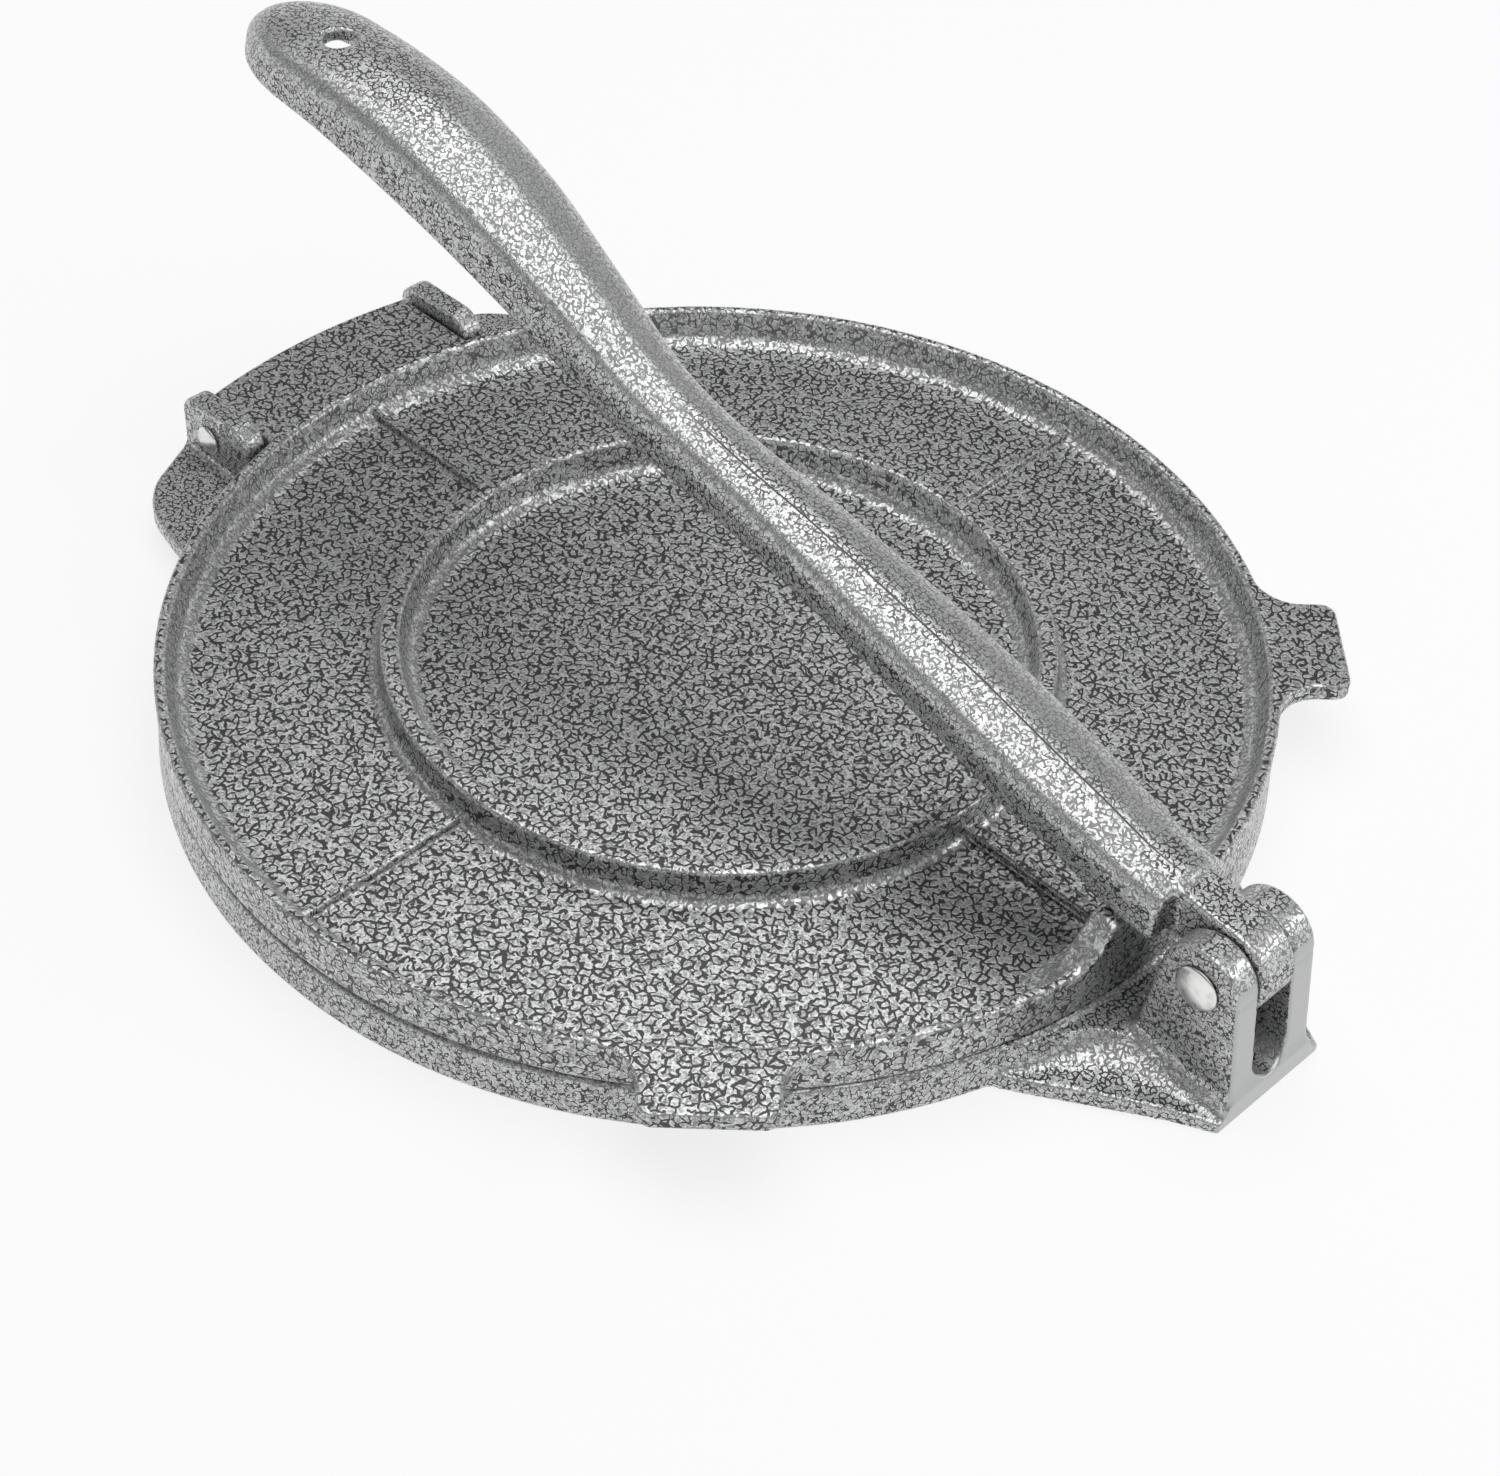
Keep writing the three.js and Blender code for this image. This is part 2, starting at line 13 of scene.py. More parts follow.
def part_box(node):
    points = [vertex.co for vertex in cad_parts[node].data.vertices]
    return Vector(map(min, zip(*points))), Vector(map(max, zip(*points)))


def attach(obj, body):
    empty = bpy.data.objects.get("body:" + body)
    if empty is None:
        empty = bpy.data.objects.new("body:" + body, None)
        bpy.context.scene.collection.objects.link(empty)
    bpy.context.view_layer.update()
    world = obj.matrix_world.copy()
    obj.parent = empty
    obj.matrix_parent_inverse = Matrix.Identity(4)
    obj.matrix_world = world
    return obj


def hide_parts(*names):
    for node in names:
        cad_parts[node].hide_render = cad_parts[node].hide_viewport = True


bl_info = {
    "name": "Tortilla press",
    "version": (1, 0, 0),
    "blender": (4, 5, 0),
    "location": "3D View > Sidebar > Press",
    "description": "Builds the castings, rivets, finishes and stage of a cast hand press",
    "category": "Object",
}

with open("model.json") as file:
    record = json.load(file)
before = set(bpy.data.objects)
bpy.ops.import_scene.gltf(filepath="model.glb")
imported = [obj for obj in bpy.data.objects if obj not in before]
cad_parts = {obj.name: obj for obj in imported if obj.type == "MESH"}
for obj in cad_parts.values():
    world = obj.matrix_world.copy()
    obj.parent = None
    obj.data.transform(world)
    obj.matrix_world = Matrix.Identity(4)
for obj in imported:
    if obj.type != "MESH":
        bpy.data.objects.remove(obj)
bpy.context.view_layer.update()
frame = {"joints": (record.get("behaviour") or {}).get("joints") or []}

# Places that the frame gives, in metres
pin_places = {joint["name"]: Vector(joint["pos_m"]) for joint in frame["joints"]}
LEVER_PIN = pin_places["lever_pivot"]
HINGE_PIN = pin_places["top_plate_hinge"]
top_low, top_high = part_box("top_plate")
base_low, base_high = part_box("base_plate")
lever_low, lever_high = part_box("lever")
PLATE_RADIUS = top_high.y
CENTRE_X = top_high.x - PLATE_RADIUS
TOP_FACE = top_low.z
BOSS_TOP = top_high.z
CLEVIS_END = base_high.x
# The lever's tip stays this far inside its box
INSET = 0.00006
LEVER_LENGTH = LEVER_PIN.x - lever_low.x - INSET

# Along shares of the flange's run from the disc to the clevis's end: how far its outline and its
# brow spread past the foot, as shares of the spread at the disc, and the height of the brow
FLANGE_OUTLINE_SHARES = ((0, 0.13, 0.3, 0.55, 0.8, 1), (1, 0.88, 0.7, 0.43, 0.17, 0))
FLANGE_BROW_SHARES = ((0, 0.09, 0.18, 0.32, 0.6, 0.95), (0.9, 0.68, 0.3, 0.02, -0.06, -0.1))
FLANGE_RISE_SHARES = (1, 1, 1, 0.93, 0.66, 0.44)

# Lever stations: shares of the length from the pin, of the rise, of the half width and of the depth
LEVER_RUN_SHARES = (
    0.02, 0.07, 0.09, 0.13, 0.17, 0.25, 0.33, 0.41, 0.49, 0.57, 0.65, 0.73, 0.81, 0.87, 0.92, 1,
)
LEVER_RISE_SHARES = (
    0, 0.012, 0.03, 0.083, 0.13, 0.23, 0.314, 0.383,
    0.432, 0.508, 0.664, 0.812, 0.912, 0.962, 0.985, 1,
)
LEVER_WIDTH_SHARES = (
    0.71, 0.71, 0.72, 0.74, 0.78, 0.77, 0.72, 0.66, 0.59, 0.62, 0.76, 0.92, 0.99, 0.985, 0.97, 0.93,
)
LEVER_DEPTH_SHARES = (
    0.78, 0.8, 0.8, 0.78, 0.76, 0.73, 0.7, 0.71, 0.76, 0.83, 0.9, 0.97, 1, 0.9, 0.8, 0.7,
)
# The station at the waist, and the rounds of search for the foot of a spot's section
WAIST_STATION, FOOT_ROUNDS = 9, 3

# Half of the lever's section from the skirt to the crest: shares of the half width and of the depth
OUTER_SECTION_SHARES = ((1, 0.985, 0.94, 0.82, 0.6, 0.3, 0), (0, 0.3, 0.58, 0.78, 0.89, 0.96, 1))
INNER_SECTION_SHARES = ((1, 0.97, 0.84, 0.45, 0), (0, 0.5, 0.8, 0.94, 1))

# Meshes: a grid cell's size and the most triangles, the parts of a cell that a gradient is read
# over, the least square of a gradient, and a length that only keeps a division sound
PLATE_MESH = (0.00055, 190000)
LEVER_MESH = (0.00045, 150000)
GRADIENT_PARTS = 8
LEAST_SQUARE = 0.1
TINY = 1e-6
# Steps round a rivet, and points along the dome of its head
RIVET_STEPS, DOME_POINTS = 64, 9

# Patterns of the coat, in cells or waves for each vein spacing
COARSE_VEINS, FINE_VEINS = 1.25, 2.2
COARSE_GAPS, FINE_GAPS = 1.4, 1.1
SWAY_WAVES, MOTTLE_WAVES = 1.3, 3.2
# How much wider cells in space look where a face cuts them
SPACE_CELLS = 1.7
# Share of a normal that points up or down: where cells in the plane take over from cells in space,
# and where rounded edges begin and end
PLANE_FROM = (0.7, 0.8)
ROUND_FROM, ROUND_TO = (0.2, 0.5), (0.93, 0.99)
# Noise at which gaps in the veins open, and at which the mottle turns bright
COARSE_GAP, FINE_GAP, BRIGHT_SPOT = (0.56, 0.66), (0.46, 0.56), (0.4, 0.6)
# Shares of a vein's width: its dark core, a fine vein's core, and the outer edge of the painted
# highlight, a glint painted beside it
CORE, FINE_CORE, PAINTED_GLINT_EDGE = 0.6, 0.3, 2.2
# How much fine veins darken, how much the painted glint beside the veins and the mottle's spots
# brighten, and how much spots dent the coat
FINE_DEPTH, PAINTED_GLINT, SPOT_BRIGHT, SPOT_RELIEF = 0.5, 0.55, 0.75, 0.4
# Roughness that a vein adds, the clear coat's share of it all, and how much the cut end dims
VEIN_ROUGHNESS, CLEAR_ROUGHNESS, END_DIM = 0.25, 0.8, 0.9
# Worn steel: dents a metre, their depth, strength and limits, and its dark share and roughness
DENT_WAVES, DENT_DEPTH, DENT_STRENGTH, DENT_LIMITS = 420.0, 0.0002, 0.5, (0.3, 0.6)
STEEL_DARK, STEEL_ROUGHNESS, DENT_ROUGHNESS = 0.75, 0.22, 0.15

# The camera's place in metres, the direction from the object back to it, its roll and its film
CAMERA_PLACE = Vector((0.2999, -0.3144, 0.3997))
CAMERA_BACK = Vector((0.498, -0.534, 0.684))
CAMERA_ROLL = math.radians(2.907)
FILM_WIDTH = 36.0
# Half a floor's side, and the distances between which it turns from near white to white
FLOOR_HALF, FLOOR_FADE, FLOOR_WHITE = 3.0, (0.2, 0.9), (0.8, 1.0)
# Upward share of a direction in which the studio's pale walls end
WALL_TOP = (0.2, 0.5)
# Lamps: distance, then the direction, the two sides and the spin of each
LAMP_DISTANCE = 0.9
KEY_LAMP = ((0.04, 0.06, 1.0), (1.5, 0.85), math.radians(14))
EDGE_LAMP = ((0.66, 0.53, 0.47), (0.3, 0.3), 0.0)
WHITE = (1.0, 1.0, 1.0, 1.0)


def number(description, default, **kind):
    """A number in a group below, named after its key by register."""
    return bpy.props.FloatProperty(name="", description=description, default=default, **kind)


def length(description, default):
    return number(description, default, min=0.0, precision=5, unit="LENGTH")


def share(description, default):
    return number(description, default, min=0.0, max=1.0, subtype="FACTOR")


def angle(description, degrees):
    return number(description, math.radians(degrees), subtype="ANGLE")


def tint(description, default):
    return bpy.props.FloatVectorProperty(
        name="", description=description, default=default, size=3, subtype="COLOR",
        min=0.0, max=1.0,
    )


class PRESS_PG_plates(bpy.types.PropertyGroup):
    """Sizes that both plates share, and those of what stands out from the top plate."""

    top_thickness: length("Working face to rim of the top plate", 0.0095)
    base_thickness: length("Working face to foot of the base plate", 0.0085)
    gap: length("Between the two working faces", 0.0003)
    web: length("Thickness of the plate behind its working face", 0.003)
    base_draft: length("Growth of the base's radius towards its foot", 0.0006)
    rim_land: length("Width of the rim's flat top", 0.002)
    rim_draft: length("Lean of the rim's inner wall", 0.0024)
    ring_inner: length("Inner radius of the ring's flat top", 0.060)
    ring_land: length("Width of the ring's flat top", 0.0036)
    ring_inner_draft: length("Lean of the ring's inner wall", 0.0019)
    ring_outer_draft: length("Lean of the ring's outer wall", 0.0006)
    foot_fillet: length("Fillet between the web and the walls", 0.0023)
    edge_round: length("Rounding of cast edges", 0.0007)
    rib_height: length("Rise of the ribs above the web", 0.0018)
    rib_width: length("Width of the thin ribs", 0.0014)
    lever_rib_width: length("Width of the rib under the lever", 0.003)
    rib_round: length("Rounding of the ribs", 0.0004)
    tab_angle: angle("Turn of each lifting tab from the lever", 45.5)
    tab_reach: length("Reach of a lifting tab past the disc", 0.0128)
    tab_half_width: length("Half the width of a lifting tab", 0.012)
    tab_thickness: length("Thickness of a lifting tab", 0.0036)
    tab_fillet: length("Fillet of a tab's root in plan", 0.007)
    tab_corner: length("Rounding of a tab's corners in plan", 0.003)
    boss_length: length("Length of the boss inward from the disc's edge", 0.006)
    boss_top_half: length("Half the boss's width at its top", 0.0105)
    boss_foot_half: length("Half the boss's width at the web", 0.019)
    boss_nose: length("Run of the eased nose of the boss", 0.0016)
    boss_nose_drop: length("Fall of the eased nose past the disc", 0.0011)
    boss_nose_run: length("Run in which the nose falls", 0.0036)
    boss_draft: length("Lean of the boss's inner face", 0.002)
    boss_round: length("Rounding of the boss's edges", 0.0014)
    boss_fillet: length("Fillet at the boss's foot", 0.004)
    seam_round: length("Rounding of the discs' edges at the seam between them", 0.0012)


class PRESS_PG_hinge(bpy.types.PropertyGroup):
    """Sizes of the plate hinge and of the base's shoulders."""

    tongue_half: length("Half the width of the top plate's tongue", 0.0257)
    tongue_reach: length("Reach of the tongue past the disc", 0.0193)
    tongue_end: length("Rounding of the tongue's lower end", 0.0025)
    pin_radius: length("Radius of the hinge pin", 0.0025)
    ear_gap: length("Side gap between the tongue and an ear", 0.0006)
    ear_disc_gap: length("Gap between an ear and the disc", 0.0008)
    ear_thickness: length("Thickness of an ear", 0.005)
    ear_rise: length("Height of an ear above the rim", 0.003)
    ear_reach: length("Reach of an ear past the disc", 0.0184)
    ear_outer_round: length("Rounding of the ear's outer corner", 0.0045)
    ear_inner_round: length("Rounding of the ear's inner corner", 0.0052)
    ear_edge: length("Rounding of the ear's edges", 0.0008)
    ear_fillet: length("Fillet at the ear's foot", 0.0014)
    shoulder_thickness: length("Thickness of a shoulder", 0.0036)
    shoulder_reach: length("Reach of a shoulder's corner past the disc", 0.0099)
    shoulder_half_span: length("Half span over the shoulders' corners", 0.0486)
    shoulder_round: length("Rounding of a shoulder's corner", 0.006)
    shoulder_root: angle("Turn at which a shoulder leaves the disc", 31.5)


class PRESS_PG_clevis(bpy.types.PropertyGroup):
    """Sizes of the lever's clevis, its foot and its flange."""

    pin_radius: length("Radius of the lever pin", 0.00375)
    eye_radius: length("Outer radius of the ears' eyes", 0.008)
    half_width: length("Half the width over the ears", 0.0107)
    foot_in: length("Reach of the foot from the pin towards the disc", 0.0121)
    foot_half: length("Half the width of the foot", 0.0136)
    foot_fillet: length("Fillet at the ears' feet", 0.0024)
    slot_floor: length("Height of the slot's floor", 0.0052)
    slot_half: length("Half the width of the slot", 0.0046)
    flange_half_span: length("Half span of the flange at the disc", 0.034)
    flange_edge: length("Height of the flange's edge", 0.0034)
    edge_round: length("Rounding of the ears' edges", 0.0009)
    flange_fillet: length("Fillet between the flange and the disc", 0.0008)


class PRESS_PG_lever(bpy.types.PropertyGroup):
    """Sizes of the lever."""

    rise: length("Rise of the lever from its heel to its grip", 0.0628)
    heel_height: length("Height of the heel's face above the pin", 0.0007)
    body_start: length("Run from the pin to the body's end", 0.0115)
    half_width: length("Half the widest width", 0.0132)
    depth: length("Greatest depth of the section", 0.0128)
    wall: length("Thickness of the hollow body's wall", 0.003)
    hub_radius: length("Radius of the hub", 0.0088)
    hub_width: length("Width of the hub", 0.0086)
    heel_half: length("Half the width of the heel", 0.008)
    heel_start: length("Run from the pin to the heel", 0.0189)
    heel_end: length("Run from the pin to the heel's far end", 0.0233)
    channel_start: length("Run from the pin to the hollow", 0.030)
    tip: length("Length of the round end", 0.020)
    hole_radius: length("Radius of the hanging hole", 0.0032)
    hole_inset: length("Distance from the hanging hole to the tip", 0.024)
    edge_round: length("Rounding of the skirt and the hub", 0.0009)
    end_round: length("Rounding of the body's end", 0.0012)
    hub_fillet: length("Fillet between the hub and the body", 0.002)


class PRESS_PG_rivets(bpy.types.PropertyGroup):
    """Sizes that both rivets share."""

    seat: length("Gap under head and tail", 0.0003)
    clearance: length("Gap round a shank", 0.00015)
    head_overhang: length("How far a head stands past its shank", 0.0006)
    head_rise: length("Height of a head", 0.0011)
    tail_overhang: length("How far a tail stands past its shank", 0.0007)


class PRESS_PG_finish(bpy.types.PropertyGroup):
    """Colours and grain of the coat and of the rivets."""

    silver: tint("Colour of the coat between its veins", (0.66, 0.665, 0.67))
    vein: tint("Colour of the veins", (0.006, 0.006, 0.0065))
    steel: tint("Colour of the rivets", (0.85, 0.85, 0.84))
    spacing: length("Mean distance between the top plate's veins", 0.0021)
    fine_spacing: length("Mean distance between the veins of base and lever", 0.00135)
    depth: length("Depth of the veins", 0.00016)
    vein_width: share("Half width of the veins as a share of a cell", 0.2)
    warp: share("How far the veins stray as a share of their spacing", 0.9)
    relief: share("How strongly the veins dent the coat", 0.5)
    gloss: share("Weight of the clear coat over coat and veins", 0.7)
    mottle: share("How much darker the coat's dim spots are", 0.55)
    wash: share("How much the veins thin out on rounded edges and fillets", 0.32)
    metal: share("How metallic the coat is", 0.82)
    trim: length("Depth of the plain coat on the clevis's cut end", 0.0004)
    # Painted shade: the half width and the offset below set a thin dark line beside the lever's
    # crest, standing in for the shade of a crease
    seam: length("Half width of the mould's seam along the lever", 0.00025)
    crease_shade_offset: length("Distance of the mould's seam from the lever's middle", 0.0014)
    roughness: share("Roughness of the coat", 0.36)


class PRESS_PG_stage(bpy.types.PropertyGroup):
    """Light, floor and camera."""

    floor: tint("Colour of the floor", (0.9, 0.9, 0.9))
    low_light: number("Strength of the studio's pale walls near the horizon", 1.0)
    high_light: number("Strength of the studio above its walls", 0.08)
    key: number("Watts of the key light", 9.0, unit="POWER")
    edge: number("Watts of the edge light", 1.2, unit="POWER")
    lens: number("Focal length in millimetres", 74.06, unit="CAMERA")


def root(*parts):
    """Square root of the sum of squares of its parts."""
    return np.sqrt(sum(part * part for part in parts))


def rounded_cut(a, b, radius):
    """What two solids share: the larger of two fields, with an arc of the radius along the edge."""
    corner = root(np.maximum(a + radius, 0), np.maximum(b + radius, 0))
    return np.minimum(np.maximum(a, b), -radius) + corner


def filleted(a, b, radius):
    """Two solids as one: the smaller of two fields, with an arc of the radius in the corner."""
    return -rounded_cut(-a, -b, radius)


def curve(places, values):
    """A smooth line through points: a cubic from each to the next, sloped at each point as the
    points round it lie."""
    places = np.asarray(places, np.float32)
    values = np.asarray(values, np.float32)
    slopes = np.gradient(values, places)

    def at(x):
        i = np.clip(np.searchsorted(places, x) - 1, 0, len(places) - 2)
        run = places[i + 1] - places[i]
        t = np.clip((x - places[i]) / run, 0, 1)
        bend = t * t * (3 - 2 * t)
        start = slopes[i] * run * t * (1 - t) * (1 - t)
        end = slopes[i + 1] * run * t * t * (t - 1)
        return values[i] + (values[i + 1] - values[i]) * bend + start + end

    return at


def plate_field(x, y, z, face, outward, thickness, plates):
    """A slab between a working face and a rim plane, with a round pocket in a ring and another
    between the ring and the rim, and four ribs in the outer pocket. It has no outer wall yet."""
    centre_x = x - CENTRE_X
    radius = root(centre_x, y)
    depth = (z - face) * outward
    slab = np.abs(depth - thickness / 2) - thickness / 2
    wall_height = thickness - plates.web
    lean_share = (thickness - depth) / wall_height
    floor = plates.web - depth

    def wall(offset, draft):
        return offset / math.hypot(1, draft / wall_height)

    rim_inner = PLATE_RADIUS - plates.rim_land
    ring_outer = plates.ring_inner + plates.ring_land
    inside_rim = wall(radius - rim_inner + plates.rim_draft * lean_share, plates.rim_draft)
    outside_ring = wall(
        ring_outer + plates.ring_outer_draft * lean_share - radius, plates.ring_outer_draft,
    )
    inside_ring = wall(
        radius - plates.ring_inner + plates.ring_inner_draft * lean_share, plates.ring_inner_draft,
    )
    outer_pocket = rounded_cut(
        rounded_cut(inside_rim, floor, plates.foot_fillet), outside_ring, plates.foot_fillet,
    )
    inner_pocket = rounded_cut(inside_ring, floor, plates.foot_fillet)
    plate = rounded_cut(slab, -np.minimum(outer_pocket, inner_pocket), plates.edge_round)

    rib_top = depth - plates.web - plates.rib_height
    between = np.maximum(radius - rim_inner, plates.ring_inner + plates.ring_land / 2 - radius)
    lever_rib = np.maximum(np.abs(y) - plates.lever_rib_width / 2, -centre_x)
    hinge_rib = np.maximum(np.abs(y) - plates.rib_width / 2, centre_x)
    side_ribs = np.abs(centre_x) - plates.rib_width / 2
    ribs = np.maximum(np.minimum(np.minimum(lever_rib, hinge_rib), side_ribs), between)
    ribs = np.maximum(rounded_cut(ribs, rib_top, plates.rib_round), -depth)
    return filleted(plate, ribs, plates.rib_round)


def top_plate_field(x, y, z, plates, hinge, clearance):
    """The top plate: a slab with pockets, ribs and the lever's boss, cut to an outline of a disc,
    two lifting tabs and the hinge tongue, with the hinge's bore."""
    centre_x = x - CENTRE_X
    radius = root(centre_x, y)
    disc = radius - PLATE_RADIUS
    depth = z - TOP_FACE
    plate = plate_field(x, y, z, TOP_FACE, 1, plates.top_thickness, plates)

    inner = PLATE_RADIUS - plates.boss_length
    boss_height = BOSS_TOP - TOP_FACE - plates.web
    sink = (BOSS_TOP - z) / boss_height
    nose_slope = plates.boss_nose_drop / plates.boss_nose_run
    nose = BOSS_TOP - z - np.maximum(centre_x - PLATE_RADIUS + plates.boss_nose, 0) * nose_slope
    spread = plates.boss_foot_half - plates.boss_top_half
    sides = (np.abs(y) - plates.boss_top_half - spread * sink) / math.hypot(1, spread / boss_height)
    back_lean = math.hypot(1, plates.boss_draft / boss_height)
    back = (inner - plates.boss_draft * sink - centre_x) / back_lean
    boss = rounded_cut(rounded_cut(sides, -nose, plates.boss_round), back, plates.boss_round)
    body = filleted(plate, np.maximum(boss, -depth), plates.boss_fillet)

    along = centre_x * math.cos(plates.tab_angle) + np.abs(y) * math.sin(plates.tab_angle)
    across = np.abs(y) * math.cos(plates.tab_angle) - centre_x * math.sin(plates.tab_angle)
    tab_end = along - PLATE_RADIUS - plates.tab_reach
    tab = rounded_cut(np.abs(across) - plates.tab_half_width, tab_end, plates.tab_corner)
    tab = filleted(np.maximum(tab, -along), disc, plates.tab_fillet)
    tab_floor = plates.top_thickness - plates.tab_thickness - depth
    tab = rounded_cut(tab, tab_floor, plates.edge_round)
    tongue_end = rounded_cut(disc - hinge.tongue_reach, -depth, hinge.tongue_end)
    tongue = rounded_cut(np.abs(y) - hinge.tongue_half, tongue_end, plates.edge_round)
    tongue = np.maximum(tongue, centre_x)
    outline = np.minimum(np.minimum(disc, tab), tongue)
    body = rounded_cut(body, outline, plates.edge_round)
    body = np.maximum(body, rounded_cut(outline, -depth, plates.seam_round))
    bore = root(x - HINGE_PIN.x, z - HINGE_PIN.z) - hinge.pin_radius - clearance
    return np.maximum(body, -bore)


def hinge_side_field(x, y, z, base_face, rim_top, plates, hinge):
    """A shoulder and its ear, the same on both sides: a thin slab within two lines in plan that
    meet at a round corner, and an upright wall on it, both cut at the tongue's side and at the
    ear's end."""
    centre_x = x - CENTRE_X
    side = np.abs(y)
    inner_face = hinge.tongue_half + hinge.ear_gap
    outer_face = inner_face + hinge.ear_thickness
    ear_end = -PLATE_RADIUS - hinge.ear_reach
    corner = Vector((-PLATE_RADIUS - hinge.shoulder_reach, hinge.shoulder_half_span))
    turn = hinge.shoulder_root
    root_spot = PLATE_RADIUS * Vector((-math.cos(turn), math.sin(turn)))

    def beyond(start, end):
        """Distance past a line in plan, on the left of its run from start to end."""
        run = (end - start).normalized()
        return run.x * (side - start.y) - run.y * (centre_x - start.x)

    ear_side = beyond(Vector((ear_end, outer_face)), corner)
    plan = rounded_cut(ear_side, beyond(corner, root_spot), hinge.shoulder_round)
    slab = np.abs(z - base_face + hinge.shoulder_thickness / 2) - hinge.shoulder_thickness / 2
    shoulder = rounded_cut(plan, slab, plates.edge_round)
    disc_edge = math.sqrt(PLATE_RADIUS ** 2 - inner_face ** 2)
    ear_top = z - rim_top - hinge.ear_rise
    ear = rounded_cut(ear_end - centre_x, ear_top, hinge.ear_outer_round)
    ear = rounded_cut(ear, centre_x + disc_edge + hinge.ear_disc_gap, hinge.ear_inner_round)
    ear = rounded_cut(ear, side - outer_face, hinge.ear_edge)
    ear = np.maximum(ear, base_face - hinge.shoulder_thickness - z)
    both = filleted(shoulder, ear, hinge.ear_fillet)
    ends = rounded_cut(inner_face - side, ear_end - centre_x, hinge.ear_edge)
    both = rounded_cut(both, ends, hinge.ear_edge)
    within_rim = PLATE_RADIUS - plates.rim_land / 2 - root(centre_x, side)
    return np.maximum(np.maximum(both, within_rim), centre_x)


def tangent_turn(foot, eye_radius):
    """How far the line from a foot to the clevis's eye, which it touches, leans from upright."""
    return math.acos(eye_radius / math.hypot(foot, LEVER_PIN.z)) - math.atan2(LEVER_PIN.z, foot)


def clevis_field(x, y, z, plates, clevis):
    """The clevis: two ears, round at the pin and widening along tangents to a foot, parted by a
    slot with a round floor, on a flange that falls from the disc to a thin edge."""
    centre_x = x - CENTRE_X
    side = np.abs(y)
    run = x - LEVER_PIN.x
    rise = z - LEVER_PIN.z
    eye = root(run, rise) - clevis.eye_radius

    def tangent(direction, foot):
        """Distance past the line that touches the eye and meets the table at a foot."""
        turn = tangent_turn(foot, clevis.eye_radius)
        return direction * run * math.cos(turn) + rise * math.sin(turn) - clevis.eye_radius

    legs = np.maximum(tangent(1, CLEVIS_END - LEVER_PIN.x), tangent(-1, clevis.foot_in))
    outline = np.minimum(eye, np.maximum(legs, rise))
    block = rounded_cut(outline, side - clevis.half_width, clevis.edge_round)

    flange_root = math.sqrt(PLATE_RADIUS ** 2 - clevis.flange_half_span ** 2) + CENTRE_X
    run_share = np.clip((x - flange_root) / (CLEVIS_END - flange_root), 0, 1)
    span = clevis.flange_half_span - clevis.foot_half
    outline_side = clevis.foot_half + span * curve(*FLANGE_OUTLINE_SHARES)(run_share)
    brow_side = clevis.foot_half + span * curve(*FLANGE_BROW_SHARES)(run_share)
    brow_rise = plates.base_thickness - plates.edge_round
    brow = brow_rise * curve(FLANGE_BROW_SHARES[0], FLANGE_RISE_SHARES)(run_share)
    edge_shares = np.sqrt(FLANGE_RISE_SHARES)
    edge = clevis.flange_edge * curve(FLANGE_OUTLINE_SHARES[0], edge_shares)(run_share)
    climb = np.clip((outline_side - side) / (outline_side - brow_side), 0, 1)
    slope = 3 * climb * climb * (brow - edge) / (outline_side - brow_side)
    top = (z - edge - (brow - edge) * climb ** 3) / np.sqrt(1 + slope * slope)
    flange = rounded_cut(top, side - outline_side, clevis.edge_round)
    within_rim = PLATE_RADIUS - plates.rim_land / 2 - root(centre_x, y)
    flange = np.maximum(np.maximum(flange, within_rim), flange_root - x)

    whole = filleted(flange, block, clevis.foot_fillet)
    slot_centre = clevis.slot_floor + clevis.slot_half
    slot = root(y, np.minimum(z - slot_centre, 0)) - clevis.slot_half
    slot = np.maximum(slot, -clevis.foot_in - plates.rim_land - run)
    whole = rounded_cut(whole, -slot, clevis.edge_round / 2)
    return np.maximum(whole, x - CLEVIS_END)


def base_plate_field(x, y, z, plates, hinge, clevis, clearance):
    """The base: a disc like the top one, upside down and drafted, with the hinge's shoulders and
    ears and the clevis, and the bores of both pins. Under the top disc it ends at its face."""
    base_face = TOP_FACE - plates.gap
    rim_top = TOP_FACE + plates.top_thickness
    radius = root(x - CENTRE_X, y)
    sink = (base_face - z) / plates.base_thickness
    disc = radius - PLATE_RADIUS - plates.base_draft * sink
    plate = plate_field(x, y, z, base_face, -1, plates.base_thickness, plates)
    body = rounded_cut(plate, disc, plates.edge_round)
    body = np.maximum(body, rounded_cut(disc, z - base_face, plates.seam_round))
    body = filleted(body, clevis_field(x, y, z, plates, clevis), clevis.flange_fillet)
    shoulders = hinge_side_field(x, y, z, base_face, rim_top, plates, hinge)
    body = filleted(body, shoulders, plates.rib_round)
    under_top = np.minimum(z - base_face, PLATE_RADIUS + plates.gap - radius)
    body = np.maximum(body, under_top)
    hinge_bore = root(x - HINGE_PIN.x, z - HINGE_PIN.z) - hinge.pin_radius - clearance
    lever_bore = root(x - LEVER_PIN.x, z - LEVER_PIN.z) - clevis.pin_radius - clearance
    body = np.maximum(body, -np.minimum(hinge_bore, lever_bore))
    return np.maximum(body, -z)


